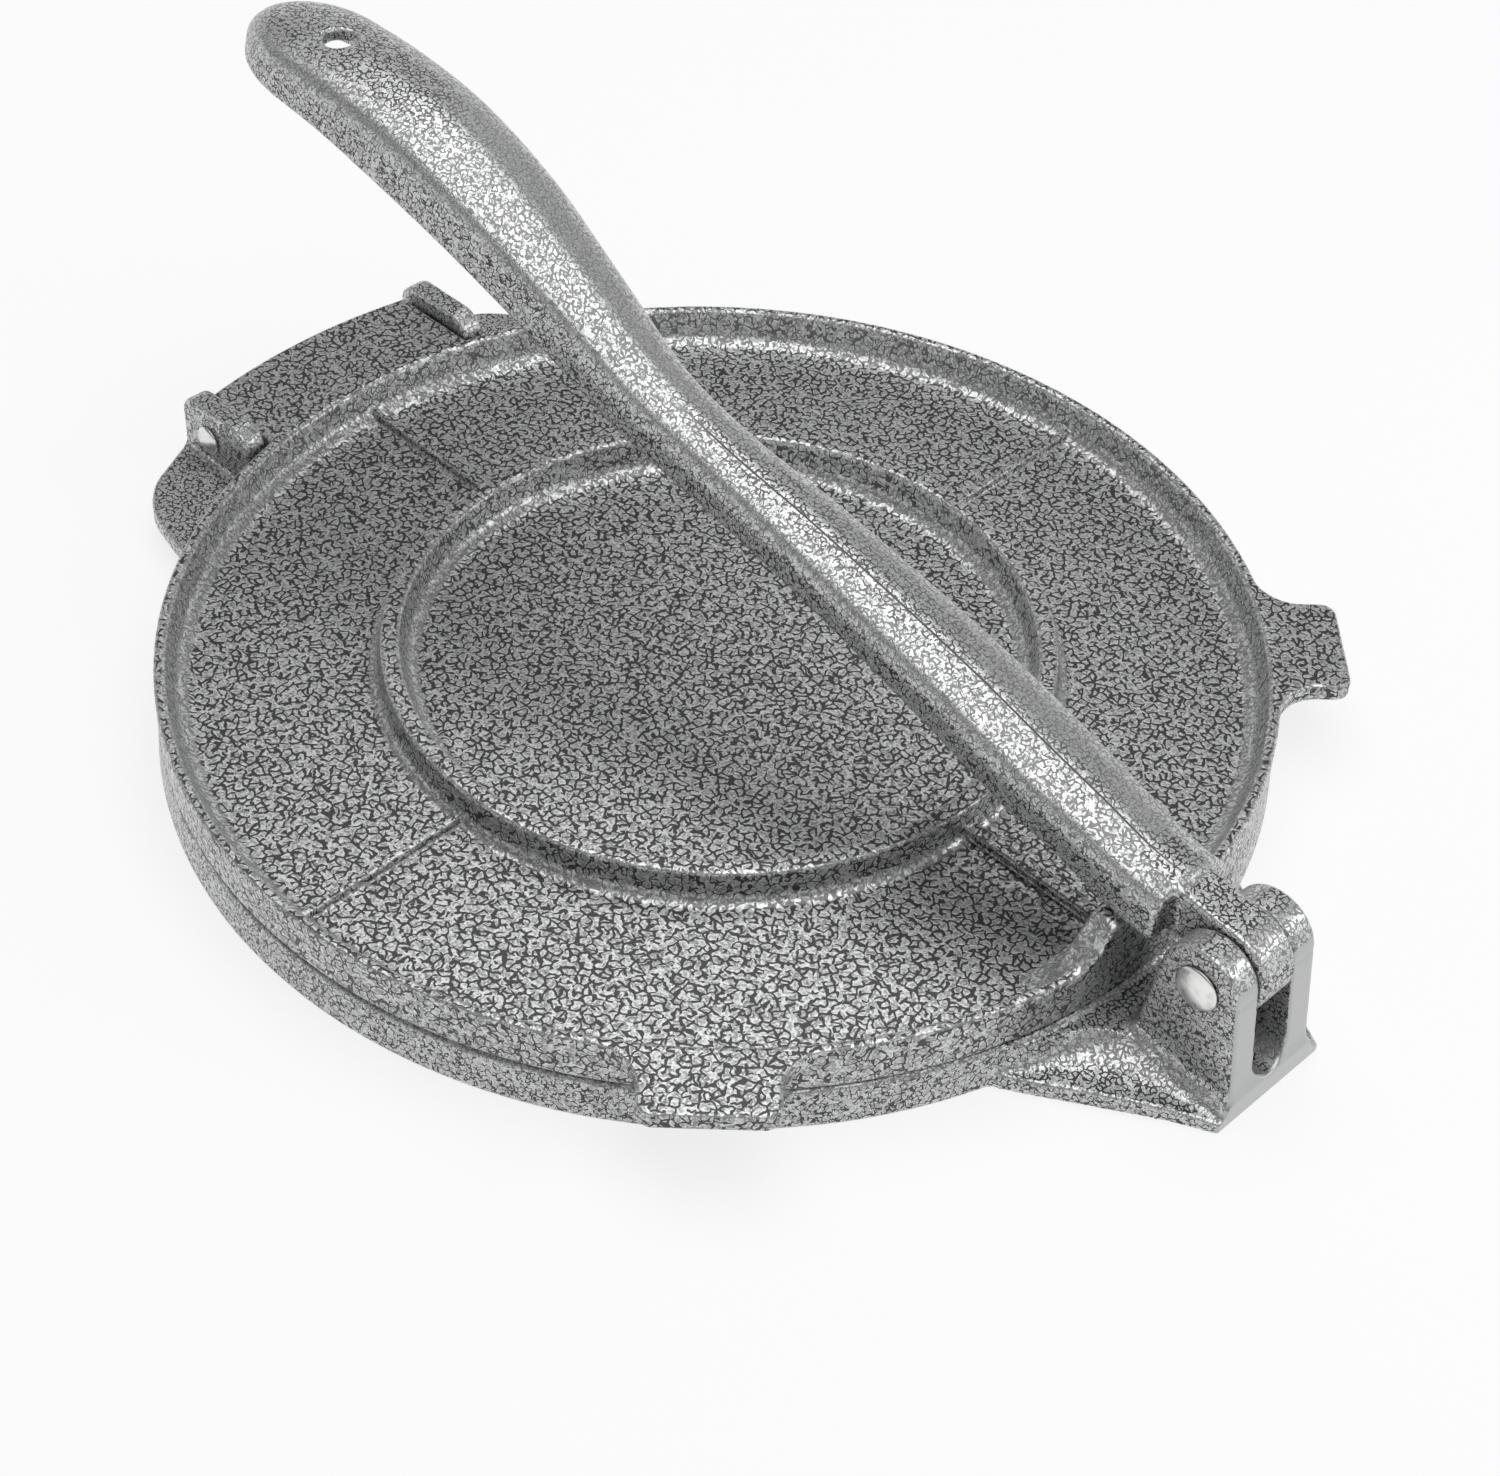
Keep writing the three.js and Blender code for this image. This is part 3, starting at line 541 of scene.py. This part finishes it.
def lever_field(x, y, z, lever, clevis, clearance):
    """The lever: a domed section, square to a curved lower edge, with a hollow of the same kind
    inside it, and a hub with a neck, a heel, a bore and a hanging hole. Rounds of a search along
    the lower edge find the foot that each spot's section stands on."""
    stations = np.asarray(LEVER_RUN_SHARES) * LEVER_LENGTH
    rise_at = curve(stations, np.asarray(LEVER_RISE_SHARES) * lever.rise)
    half_at = curve(stations, np.asarray(LEVER_WIDTH_SHARES) * lever.half_width)
    depth_at = curve(stations, np.asarray(LEVER_DEPTH_SHARES) * lever.depth)
    run = LEVER_PIN.x - x
    rise = z - LEVER_PIN.z
    climb = rise - lever.heel_height
    step = lever.wall
    along = run + 0 * climb
    for _ in range(FOOT_ROUNDS):
        slope = (rise_at(along + step) - rise_at(along - step)) / (2 * step)
        lean = np.sqrt(1 + slope * slope)
        offset = climb - rise_at(along)
        height = (offset - (run - along) * slope) / lean
        along = along + (run - along + offset * slope) / (lean * lean)

    def dome(half, depth, tip, section):
        """Distance past a section along the line from its foot's middle, swept round at the tip."""
        end = np.maximum(along - (LEVER_LENGTH - lever.tip), 0)
        up = np.maximum(height, 0)
        wide_share = root(y / half, end / tip)
        up_share = up / depth
        reach_share = root(wide_share, up_share) + np.float32(TINY)
        angles = np.arctan2(section[1], section[0])
        rim_at = curve(angles, root(*map(np.asarray, section)))
        rim_share = rim_at(np.arctan2(up_share, wide_share))
        return root(y, end, up) * (1 - rim_share / reach_share)

    half, depth = half_at(along), depth_at(along)
    outer = dome(half, depth, lever.tip, OUTER_SECTION_SHARES)
    wall = lever.wall
    hollow = dome(half - wall, depth - wall, lever.tip - wall, INNER_SECTION_SHARES)
    body = rounded_cut(outer, -height, lever.edge_round)
    body = rounded_cut(body, lever.body_start - run, lever.end_round)
    hollow = rounded_cut(hollow, lever.channel_start - along, wall)
    body = rounded_cut(body, -hollow, lever.edge_round)

    eye = root(run, rise) - lever.hub_radius
    neck_runs = (0, lever.body_start, lever.heel_start)
    neck_places = np.asarray(neck_runs[1:])
    low = lever.heel_height + rise_at(neck_places)
    high = low + depth_at(neck_places) - np.asarray((wall / 4, wall / 2))
    neck_low = np.interp(run, neck_runs, (-lever.hub_radius / 2, *low)).astype(np.float32)
    neck_high = np.interp(run, neck_runs, (lever.hub_radius, *high)).astype(np.float32)
    neck_side = np.maximum(neck_low - rise, rise - neck_high)
    neck = np.maximum(neck_side, np.maximum(-run, run - lever.heel_start))
    hub = rounded_cut(np.minimum(eye, neck), np.abs(y) - lever.hub_width / 2, lever.edge_round)
    heel = np.maximum(lever.heel_start - run, run - lever.heel_end)
    heel = np.maximum(heel, lever.heel_height - rise)
    heel = rounded_cut(heel, np.abs(y) - lever.heel_half, lever.edge_round)
    heel = np.maximum(heel, climb - depth_at(np.float32(lever.heel_end)) / 2)
    whole = filleted(filleted(body, hub, lever.hub_fillet), heel, lever.edge_round)
    bore = root(run, rise) - clevis.pin_radius - clearance
    hole = root(run - LEVER_LENGTH + lever.hole_inset, y) - lever.hole_radius
    return np.maximum(rounded_cut(whole, -hole, lever.edge_round), -bore)


def gradient_of(field, spots, step):
    """How the field grows along x, y and z at each spot, from values a step to either side."""
    slopes = []
    for axis in range(3):
        shift = np.zeros(3, np.float32)
        shift[axis] = step
        ahead = field(*(spots + shift).T)
        behind = field(*(spots - shift).T)
        slopes.append((ahead - behind) / (2 * step))
    return np.stack(slopes, 1)


def on_surface(field, spots, cell, rounds):
    """Spots moved along the gradient on to the zero level: each loses the field times the gradient
    over the gradient's square."""
    for _ in range(rounds):
        slopes = gradient_of(field, spots, cell / GRADIENT_PARTS)
        square = np.maximum((slopes * slopes).sum(1), LEAST_SQUARE)
        move = slopes * (field(*spots.T) / square)[:, None]
        spots = spots - np.clip(move, -cell, cell)
    return spots


def relaxed(spots, quads):
    """Each spot moved halfway to the mean of its neighbours along the quads' edges."""
    starts = quads.ravel()
    ends = np.roll(quads, -1, axis=1).ravel()

    def tally(places, values=None):
        return np.bincount(places, values, len(spots))

    count = tally(starts) + tally(ends)
    mean = np.stack([
        tally(starts, spots[ends, axis]) + tally(ends, spots[starts, axis]) for axis in range(3)
    ], 1) / count[:, None]
    return ((spots + mean) / 2).astype(np.float32)


def net_of(field, low, high, cell):
    """Vertices and quads of the field's zero level. A grid cell with corners on both sides of the
    surface holds a vertex, and a grid edge that crosses the surface becomes the quad of the four
    cells round it."""
    axes = [
        np.arange(a - 2 * cell, b + 3 * cell, cell, dtype=np.float32) for a, b in zip(low, high)
    ]
    inside = field(*np.ix_(*axes)) < 0
    count = np.zeros([n - 1 for n in inside.shape], np.int8)
    for corner in itertools.product((0, 1), repeat=3):
        count += inside[tuple(slice(a, a + n) for a, n in zip(corner, count.shape))]
    crossed = (count > 0) & (count < 8)
    index = np.full(crossed.shape, -1, np.int32)
    index[crossed] = np.arange(np.count_nonzero(crossed))
    start = np.array([axis[0] for axis in axes])
    spots = ((np.argwhere(crossed) + 0.5) * cell + start).astype(np.float32)
    quads = []
    for axis in range(3):
        order = (axis, (axis + 1) % 3, (axis + 2) % 3)
        sides = inside.transpose(order)
        cells = index.transpose(order)
        near, far = sides[:-1, 1:-1, 1:-1], sides[1:, 1:-1, 1:-1]
        i, j, k = np.nonzero(near != far)
        ring = np.stack([
            cells[i, j, k], cells[i, j + 1, k], cells[i, j + 1, k + 1], cells[i, j, k + 1],
        ], 1)
        flip = ~near[i, j, k]
        ring[flip] = ring[flip, ::-1]
        quads.append(ring)
    return spots, np.concatenate(quads)


def mesh_of(name, spots, faces):
    """A mesh from an array of vertices and an array of faces that all have as many corners."""
    mesh = bpy.data.meshes.new(name)
    corners = faces.shape[1]
    mesh.vertices.add(len(spots))
    mesh.vertices.foreach_set("co", np.asarray(spots, np.float32).ravel())
    mesh.loops.add(faces.size)
    mesh.loops.foreach_set("vertex_index", faces.astype(np.int32).ravel())
    mesh.polygons.add(len(faces))
    mesh.polygons.foreach_set("loop_start", np.arange(0, faces.size, corners, dtype=np.int32))
    mesh.update(calc_edges=True)
    return mesh


def placed(name, mesh):
    piece = bpy.data.objects.new(name, mesh)
    bpy.context.scene.collection.objects.link(piece)
    return piece


def casting(name, field_of, sizes, box, resolution):
    """A piece on the zero level of the field that the sizes give, thinned to a count of triangles,
    with its shading normals taken from the field's own gradient."""
    cell, most = resolution

    def field(x, y, z):
        return field_of(x, y, z, *sizes)

    spots, quads = net_of(field, *box, cell)
    spots = on_surface(field, spots, cell, 2)
    spots = on_surface(field, relaxed(spots, quads), cell, 2)
    piece = placed(name, mesh_of(name, spots, quads))
    thin = piece.modifiers.new("thin", "DECIMATE")
    thin.ratio = min(1.0, most / (2 * len(quads)))
    view = bpy.context.evaluated_depsgraph_get()
    mesh = bpy.data.meshes.new_from_object(piece.evaluated_get(view))
    piece.modifiers.remove(thin)
    bulky, piece.data = piece.data, mesh
    bpy.data.meshes.remove(bulky)
    mesh.name = name
    spots = np.zeros(len(mesh.vertices) * 3, np.float32)
    mesh.vertices.foreach_get("co", spots)
    spots = on_surface(field, spots.reshape(-1, 3), cell, 2)
    mesh.vertices.foreach_set("co", spots.astype(np.float32).ravel())
    slopes = gradient_of(field, spots, cell / GRADIENT_PARTS)
    normals = slopes / np.maximum(np.linalg.norm(slopes, axis=1), TINY)[:, None]
    mesh.polygons.foreach_set("use_smooth", np.ones(len(mesh.polygons), bool))
    mesh.normals_split_custom_set_from_vertices(normals.tolist())
    return piece


def spun(name, profile, centre, steps):
    """A profile of (distance from the axis, place along it) carried round the Y axis through a
    centre. Its first and last points lie on the axis, as the poles of the closed surface."""
    profile = np.asarray(profile, float)
    turns = np.linspace(0, 2 * math.pi, steps, endpoint=False)
    rings = profile[1:-1]
    spots = np.stack([
        rings[:, :1] * np.sin(turns),
        rings[:, 1:] + 0 * turns,
        rings[:, :1] * np.cos(turns),
    ], 2).reshape(-1, 3)
    poles = np.array([[0, profile[0, 1], 0], [0, profile[-1, 1], 0]])
    first = np.arange(steps)
    second = (first + 1) % steps
    band = np.stack([first, second, second + steps, first + steps], 1)
    quads = np.concatenate([band + k * steps for k in range(len(rings) - 1)])
    triangles = np.concatenate([quads[:, [0, 1, 2]], quads[:, [0, 2, 3]]])
    low_pole, high_pole = len(spots), len(spots) + 1
    last = (len(rings) - 1) * steps
    low_cap = np.stack([np.full(steps, low_pole), second, first], 1)
    high_cap = np.stack([np.full(steps, high_pole), last + first, last + second], 1)
    faces = np.concatenate([triangles, low_cap, high_cap])
    spots = np.concatenate([spots, poles]) + np.asarray(centre)
    piece = placed(name, mesh_of(name, spots, faces))
    piece.data.polygons.foreach_set("use_smooth", np.ones(len(faces), bool))
    return piece


class Signal:
    """A number in a shader that Python's arithmetic works on. Each operation adds its Math node."""

    def __init__(self, shader, socket):
        self.shader = shader
        self.socket = socket

    def joined(self, operation, *numbers):
        return self.shader.add("ShaderNodeMath", {"operation": operation}, dict(enumerate(numbers)))

    def __add__(self, other):
        return self.joined("ADD", self, other)

    def __mul__(self, other):
        return self.joined("MULTIPLY", self, other)

    def __sub__(self, other):
        return self.joined("SUBTRACT", self, other)

    def __rsub__(self, other):
        return self.joined("SUBTRACT", other, self)

    __radd__ = __add__
    __rmul__ = __mul__


class Shader:
    """A material's or world's node tree, emptied, to which nodes are added one call each."""

    def __init__(self, owner):
        owner.use_nodes = True
        self.nodes = owner.node_tree.nodes
        self.links = owner.node_tree.links
        self.nodes.clear()

    def add(self, kind, settings=None, inputs=None, output=0):
        """Adds a node, makes its settings, then sets or links its sockets, and gives an output."""
        node = self.nodes.new(kind)
        for key, value in (settings or {}).items():
            setattr(node, key, value)
        for key, value in (inputs or {}).items():
            if isinstance(value, Signal):
                self.links.new(value.socket, node.inputs[key])
            else:
                node.inputs[key].default_value = value
        return Signal(self, node.outputs[output]) if len(node.outputs) else node

    def seen(self):
        """One for rays from the camera, for reflections and for rays through glass, else zero."""
        camera = self.add("ShaderNodeLightPath", output="Is Camera Ray")
        glossy = Signal(self, camera.socket.node.outputs["Is Glossy Ray"])
        through = Signal(self, camera.socket.node.outputs["Is Transmission Ray"])
        return camera.joined("MAXIMUM", camera.joined("MAXIMUM", camera, glossy), through)

    def parts(self, vector):
        """The three numbers in a vector."""
        first = self.add("ShaderNodeSeparateXYZ", {}, {"Vector": vector}, "X")
        return [Signal(self, output) for output in first.socket.node.outputs]

    def smooth(self, value, start, end, low=0.0, high=1.0):
        """Low below start, high above end, and an S between them."""
        limits = {"Value": value, 1: start, 2: end, 3: low, 4: high}
        return self.add("ShaderNodeMapRange", {"interpolation_type": "SMOOTHSTEP"}, limits)

    def blend(self, factor, first, second):
        """A colour between two others."""
        inputs = {0: factor, 6: first, 7: second}
        return self.add("ShaderNodeMix", {"data_type": "RGBA"}, inputs, 2)

    def ends_in(self, surface):
        """Makes a surface the outcome of a material's tree."""
        self.add("ShaderNodeOutputMaterial", {}, {"Surface": surface})


def opaque(colour):
    return (*colour, 1.0)


def new_material(name):
    """A material, its node tree, and the place of a spot in its object's own axes."""
    material = bpy.data.materials.new(name)
    shader = Shader(material)
    return material, shader, shader.add("ShaderNodeTexCoord", output="Object")


def vein_coat(name, finish, spacing, masked):
    """Silver coat with dark, slightly sunken veins: the edges of warped cells, at two scales, each
    faded out in places by a slow noise, over a ground that a fine noise mottles and that is
    brightest along the veins, a painted highlight standing in for glints there. A piece's own mask
    says where the coat has no veins, or has a line of painted shade."""
    material, shader, place = new_material(name)
    per_metre = 1 / spacing
    grain = spacing / finish.spacing

    def noise(frequency, detail=0.0, output="Fac"):
        inputs = {"Vector": place, "Scale": frequency * per_metre, "Detail": detail}
        return shader.add("ShaderNodeTexNoise", {}, inputs, output)

    sway = shader.add(
        "ShaderNodeVectorMath", {"operation": "SUBTRACT"},
        {0: noise(SWAY_WAVES, 1.0, "Color"), 1: (0.5, 0.5, 0.5)},
    )
    warped = shader.add(
        "ShaderNodeVectorMath", {"operation": "MULTIPLY_ADD"},
        {0: sway, 1: (spacing * finish.warp,) * 3, 2: place},
    )
    width = finish.vein_width
    facing = shader.parts(shader.add("ShaderNodeTexCoord", output="Normal"))[2]
    upright = facing.joined("ABSOLUTE", facing)
    level = shader.smooth(upright, *PLANE_FROM)
    rounded = shader.smooth(upright, *ROUND_FROM) * shader.smooth(upright, *ROUND_TO, 1.0, 0.0)

    def veins(frequency, gaps):
        """Distance from the veins, which are the cells' edges, and a vein's width more in a gap.
        Level faces cut cells in a plane, and steep ones cut cells in space."""
        flat, deep = (
            shader.add(
                "ShaderNodeTexVoronoi",
                {"feature": "DISTANCE_TO_EDGE", "voronoi_dimensions": dimensions},
                {"Vector": warped, "Scale": frequency * per_metre}, "Distance",
            )
            for dimensions in ("2D", "3D")
        )
        return flat * level + deep * (1 - level) * SPACE_CELLS + gaps * width

    coarse = veins(COARSE_VEINS, shader.smooth(noise(COARSE_GAPS), *COARSE_GAP))
    fine = veins(FINE_VEINS, shader.smooth(noise(FINE_GAPS, 1.0), *FINE_GAP))
    veined = coarse.joined(
        "MINIMUM", shader.smooth(coarse, width * CORE, width),
        shader.smooth(fine, width * FINE_CORE, width) * FINE_DEPTH + (1 - FINE_DEPTH),
    )
    veined = veined.joined("MAXIMUM", veined, rounded * finish.wash)
    mottle = noise(MOTTLE_WAVES, 1.0)
    # Painted highlight: a bright band of coat colour beside each vein, standing in for glints
    painted_glints = shader.smooth(coarse, width, width * PAINTED_GLINT_EDGE, 1.0, 0.0)
    glints_and_spots = painted_glints * PAINTED_GLINT + shader.smooth(mottle, *BRIGHT_SPOT) * SPOT_BRIGHT
    bright = glints_and_spots.joined("MINIMUM", glints_and_spots, 1.0)
    whole, bright = masked(shader, veined, bright, *shader.parts(place))
    dim = tuple((1 - finish.mottle * grain) * part for part in finish.silver)
    silver = shader.blend(bright, opaque(dim), opaque(finish.silver))
    colour = shader.blend(whole, opaque(finish.vein), silver)
    bump = shader.add("ShaderNodeBump", {}, {
        "Strength": finish.relief * grain,
        "Distance": finish.depth,
        "Height": whole + mottle * SPOT_RELIEF,
    })
    shader.ends_in(shader.add("ShaderNodeBsdfPrincipled", {}, {
        "Base Color": colour,
        "Metallic": whole * finish.metal,
        "Roughness": finish.roughness + (1 - whole) * VEIN_ROUGHNESS,
        "Coat Weight": finish.gloss,
        "Coat Roughness": finish.roughness * CLEAR_ROUGHNESS,
        "Normal": bump,
    }))
    return material


def unmasked(shader, veined, bright, x, y, z):
    return veined, bright


def plain_end(shader, veined, bright, x, y, z):
    """No veins on the flat end of the clevis: a plane from its foot that touches its eyes."""
    scene = bpy.context.scene
    turn = tangent_turn(CLEVIS_END - LEVER_PIN.x, scene.press_clevis.eye_radius)
    past = (x - CLEVIS_END) * math.cos(turn) + z * math.sin(turn)
    trim = scene.press_finish.trim
    end = shader.smooth(past, -trim, -trim / 2)
    return veined.joined("MAXIMUM", veined, end), bright * (1 - end * END_DIM)


def crest_crease_shade(shader, veined, bright, x, y, z):
    """A thin line of painted shade beside the lever's crest, standing in for the shade of a crease
    there, from its wide end to its waist.
    """
    scene = bpy.context.scene
    seam = scene.press_finish.seam
    waist = LEVER_PIN.x - LEVER_LENGTH * LEVER_RUN_SHARES[WAIST_STATION]
    aside = y + scene.press_finish.crease_shade_offset
    off = shader.smooth(aside.joined("ABSOLUTE", aside), seam / 2, seam)
    before = shader.smooth(x, waist, waist + scene.press_lever.tip, 1.0, 0.0)
    after = shader.smooth(x, LEVER_PIN.x - 2 * scene.press_lever.body_start, LEVER_PIN.x)
    return veined.joined("MINIMUM", veined, off + before + after), bright


def worn_steel(finish):
    """Bright steel with soft dents, its colour darker where the dents sink."""
    material, shader, place = new_material("worn_steel")
    noise = {"Vector": place, "Scale": DENT_WAVES, "Detail": 2.0}
    dents = shader.add("ShaderNodeTexNoise", {}, noise)
    bump = shader.add(
        "ShaderNodeBump", {},
        {"Strength": DENT_STRENGTH, "Distance": DENT_DEPTH, "Height": dents},
    )
    dark = tuple(STEEL_DARK * part for part in finish.steel)
    colour = shader.blend(shader.smooth(dents, *DENT_LIMITS), opaque(dark), opaque(finish.steel))
    shader.ends_in(shader.add("ShaderNodeBsdfPrincipled", {}, {
        "Base Color": colour,
        "Metallic": 1.0,
        "Roughness": STEEL_ROUGHNESS + dents * DENT_ROUGHNESS,
        "Normal": bump,
    }))
    return material


def dressed(piece, material, body, node):
    """Gives a piece its finish, its slot and the body it rides on, and hides the node it stands
    for.
    """
    piece.data.materials.clear()
    piece.data.materials.append(material)
    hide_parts(node)
    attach(piece, body)


class PRESS_OT_base_plate(bpy.types.Operator):
    """Make the base casting: disc, shoulders, hinge ears, flange and clevis"""

    bl_idname = "press.base_plate"
    bl_label = "Base plate"

    def execute(self, context):
        scene = context.scene
        finish = scene.press_finish
        sizes = (
            scene.press_plates, scene.press_hinge, scene.press_clevis, scene.press_rivets.clearance,
        )
        box = (base_low, base_high)
        piece = casting("base_casting", base_plate_field, sizes, box, PLATE_MESH)
        coat = vein_coat("base_coat", finish, finish.fine_spacing, plain_end)
        dressed(piece, coat, "base", "base_plate")
        return {"FINISHED"}


class PRESS_OT_top_plate(bpy.types.Operator):
    """Make the top casting: disc, rim, ring, ribs, boss, lifting tabs and tongue"""

    bl_idname = "press.top_plate"
    bl_label = "Top plate"

    def execute(self, context):
        scene = context.scene
        finish = scene.press_finish
        sizes = (scene.press_plates, scene.press_hinge, scene.press_rivets.clearance)
        piece = casting("top_casting", top_plate_field, sizes, (top_low, top_high), PLATE_MESH)
        coat = vein_coat("top_coat", finish, finish.spacing, unmasked)
        dressed(piece, coat, "top", "top_plate")
        return {"FINISHED"}


class PRESS_OT_lever(bpy.types.Operator):
    """Make the lever: hub, heel, hollow arm and grip"""

    bl_idname = "press.lever"
    bl_label = "Lever"

    def execute(self, context):
        scene = context.scene
        finish = scene.press_finish
        sizes = (scene.press_lever, scene.press_clevis, scene.press_rivets.clearance)
        piece = casting("lever_casting", lever_field, sizes, (lever_low, lever_high), LEVER_MESH)
        coat = vein_coat("lever_coat", finish, finish.fine_spacing, crest_crease_shade)
        dressed(piece, coat, "lever", "lever")
        return {"FINISHED"}


def rivet_profile(shank, half_grip, rivets):
    """Half outline of a rivet: a domed head, a straight shank and a small peened tail. Each dome is
    a quarter of an ellipse, from the axis to its edge."""
    turns = np.linspace(0, math.pi / 2, DOME_POINTS)
    head = shank + rivets.head_overhang
    tail = shank + rivets.tail_overhang
    foot = half_grip + rivets.seat
    head_dome = np.stack([head * np.sin(turns), -foot - rivets.head_rise * np.cos(turns)], 1)
    tail_dome = np.stack([tail * np.cos(turns), foot + rivets.tail_overhang * np.sin(turns)], 1)
    return np.concatenate([head_dome, [[shank, -foot], [shank, foot]], tail_dome])


class PRESS_OT_rivets(bpy.types.Operator):
    """Make the two rivets that serve as the lever's pin and the hinge's pin"""

    bl_idname = "press.rivets"
    bl_label = "Rivets"

    def execute(self, context):
        scene = context.scene
        rivets, hinge, clevis = scene.press_rivets, scene.press_hinge, scene.press_clevis
        ear_outer = hinge.tongue_half + hinge.ear_gap + hinge.ear_thickness
        rows = (
            ("lever_rivet", clevis.pin_radius, clevis.half_width, LEVER_PIN, "lever_pin"),
            ("hinge_rivet", hinge.pin_radius, ear_outer, HINGE_PIN, "hinge_pin"),
        )
        steel = worn_steel(scene.press_finish)
        for name, shank, half_grip, centre, node in rows:
            profile = rivet_profile(shank, half_grip, rivets)
            piece = spun(name, profile, centre, RIVET_STEPS)
            dressed(piece, steel, "base", node)
        return {"FINISHED"}


def softbox(name, direction, size, spin, power):
    """A lamp of two sides in a direction, turned to the origin and spun about its own axis."""
    lamp = bpy.data.lights.new(name, "AREA")
    lamp.energy = power
    lamp.shape = "RECTANGLE"
    lamp.size, lamp.size_y = size
    holder = bpy.data.objects.new(name, lamp)
    back = Vector(direction).normalized()
    holder.location = back * LAMP_DISTANCE
    turn = back.to_track_quat("Z", "Y") @ Quaternion((0.0, 0.0, 1.0), spin)
    holder.rotation_euler = turn.to_euler()
    bpy.context.scene.collection.objects.link(holder)


class PRESS_OT_stage(bpy.types.Operator):
    """Make the floor, the world, the lamps and the camera"""

    bl_idname = "press.stage"
    bl_label = "Stage"

    def execute(self, context):
        scene = context.scene
        look = scene.press_stage

        camera = bpy.data.cameras.new("camera")
        camera.lens = look.lens
        camera.sensor_width = FILM_WIDTH
        holder = bpy.data.objects.new("camera", camera)
        turn = CAMERA_BACK.to_track_quat("Z", "Y").to_matrix().to_4x4()
        roll = Matrix.Rotation(CAMERA_ROLL, 4, "Z")
        holder.matrix_world = Matrix.Translation(CAMERA_PLACE) @ turn @ roll
        scene.collection.objects.link(holder)
        scene.camera = holder

        corners = FLOOR_HALF * np.array([[-1, -1, 0], [1, -1, 0], [1, 1, 0], [-1, 1, 0]])
        floor = placed("floor", mesh_of("floor", corners, np.array([[0, 1, 2, 3]])))
        material, shader, place = new_material("pale_floor")
        matt = shader.add("ShaderNodeBsdfDiffuse", {}, {"Color": opaque(look.floor)})
        glow = shader.add("ShaderNodeEmission", {}, {"Color": WHITE, "Strength": 1.0})
        distance = shader.add("ShaderNodeVectorMath", {"operation": "LENGTH"}, {0: place}, "Value")
        white = shader.smooth(distance, *FLOOR_FADE, *FLOOR_WHITE)
        mixed = {0: shader.seen() * white, 1: matt, 2: glow}
        shader.ends_in(shader.add("ShaderNodeMixShader", {}, mixed))
        floor.data.materials.append(material)

        world = bpy.data.worlds.new("studio")
        scene.world = world
        sky = Shader(world)
        direction = sky.add("ShaderNodeTexCoord", output="Generated")
        height = sky.parts(direction)[2]
        strength = sky.smooth(height, *WALL_TOP, look.low_light, look.high_light)
        light = sky.add("ShaderNodeBackground", {}, {"Color": WHITE, "Strength": strength})
        sky.add("ShaderNodeOutputWorld", {}, {"Surface": light})

        softbox("key", *KEY_LAMP, look.key)
        softbox("edge", *EDGE_LAMP, look.edge)
        scene.view_settings.view_transform = "Standard"
        return {"FINISHED"}


OPERATORS = (
    PRESS_OT_base_plate, PRESS_OT_top_plate, PRESS_OT_lever, PRESS_OT_rivets, PRESS_OT_stage,
)
GROUPS = {
    "press_plates": PRESS_PG_plates,
    "press_hinge": PRESS_PG_hinge,
    "press_clevis": PRESS_PG_clevis,
    "press_lever": PRESS_PG_lever,
    "press_rivets": PRESS_PG_rivets,
    "press_finish": PRESS_PG_finish,
    "press_stage": PRESS_PG_stage,
}


class PRESS_PT_panel(bpy.types.Panel):
    """Lists the pieces of the press in the sidebar"""

    bl_idname = "PRESS_PT_panel"
    bl_label = "Tortilla press"
    bl_space_type = "VIEW_3D"
    bl_region_type = "UI"
    bl_category = "Press"

    def draw(self, context):
        for operator in OPERATORS:
            self.layout.operator(operator.bl_idname)


def register():
    for group in GROUPS.values():
        for key, size in group.__annotations__.items():
            size.keywords["name"] = key.replace("_", " ").capitalize()
    for kind in (*GROUPS.values(), *OPERATORS, PRESS_PT_panel):
        bpy.utils.register_class(kind)
    for key, group in GROUPS.items():
        name = key.replace("_", " ").capitalize()
        pointer = bpy.props.PointerProperty(name=name, description=group.__doc__, type=group)
        setattr(bpy.types.Scene, key, pointer)


def unregister():
    for key in GROUPS:
        delattr(bpy.types.Scene, key)
    for kind in reversed((*GROUPS.values(), *OPERATORS, PRESS_PT_panel)):
        bpy.utils.unregister_class(kind)


def main():
    register()
    bpy.ops.press.base_plate()
    bpy.ops.press.top_plate()
    bpy.ops.press.lever()
    bpy.ops.press.rivets()
    bpy.ops.press.stage()


if __name__ == "__main__":
    main()
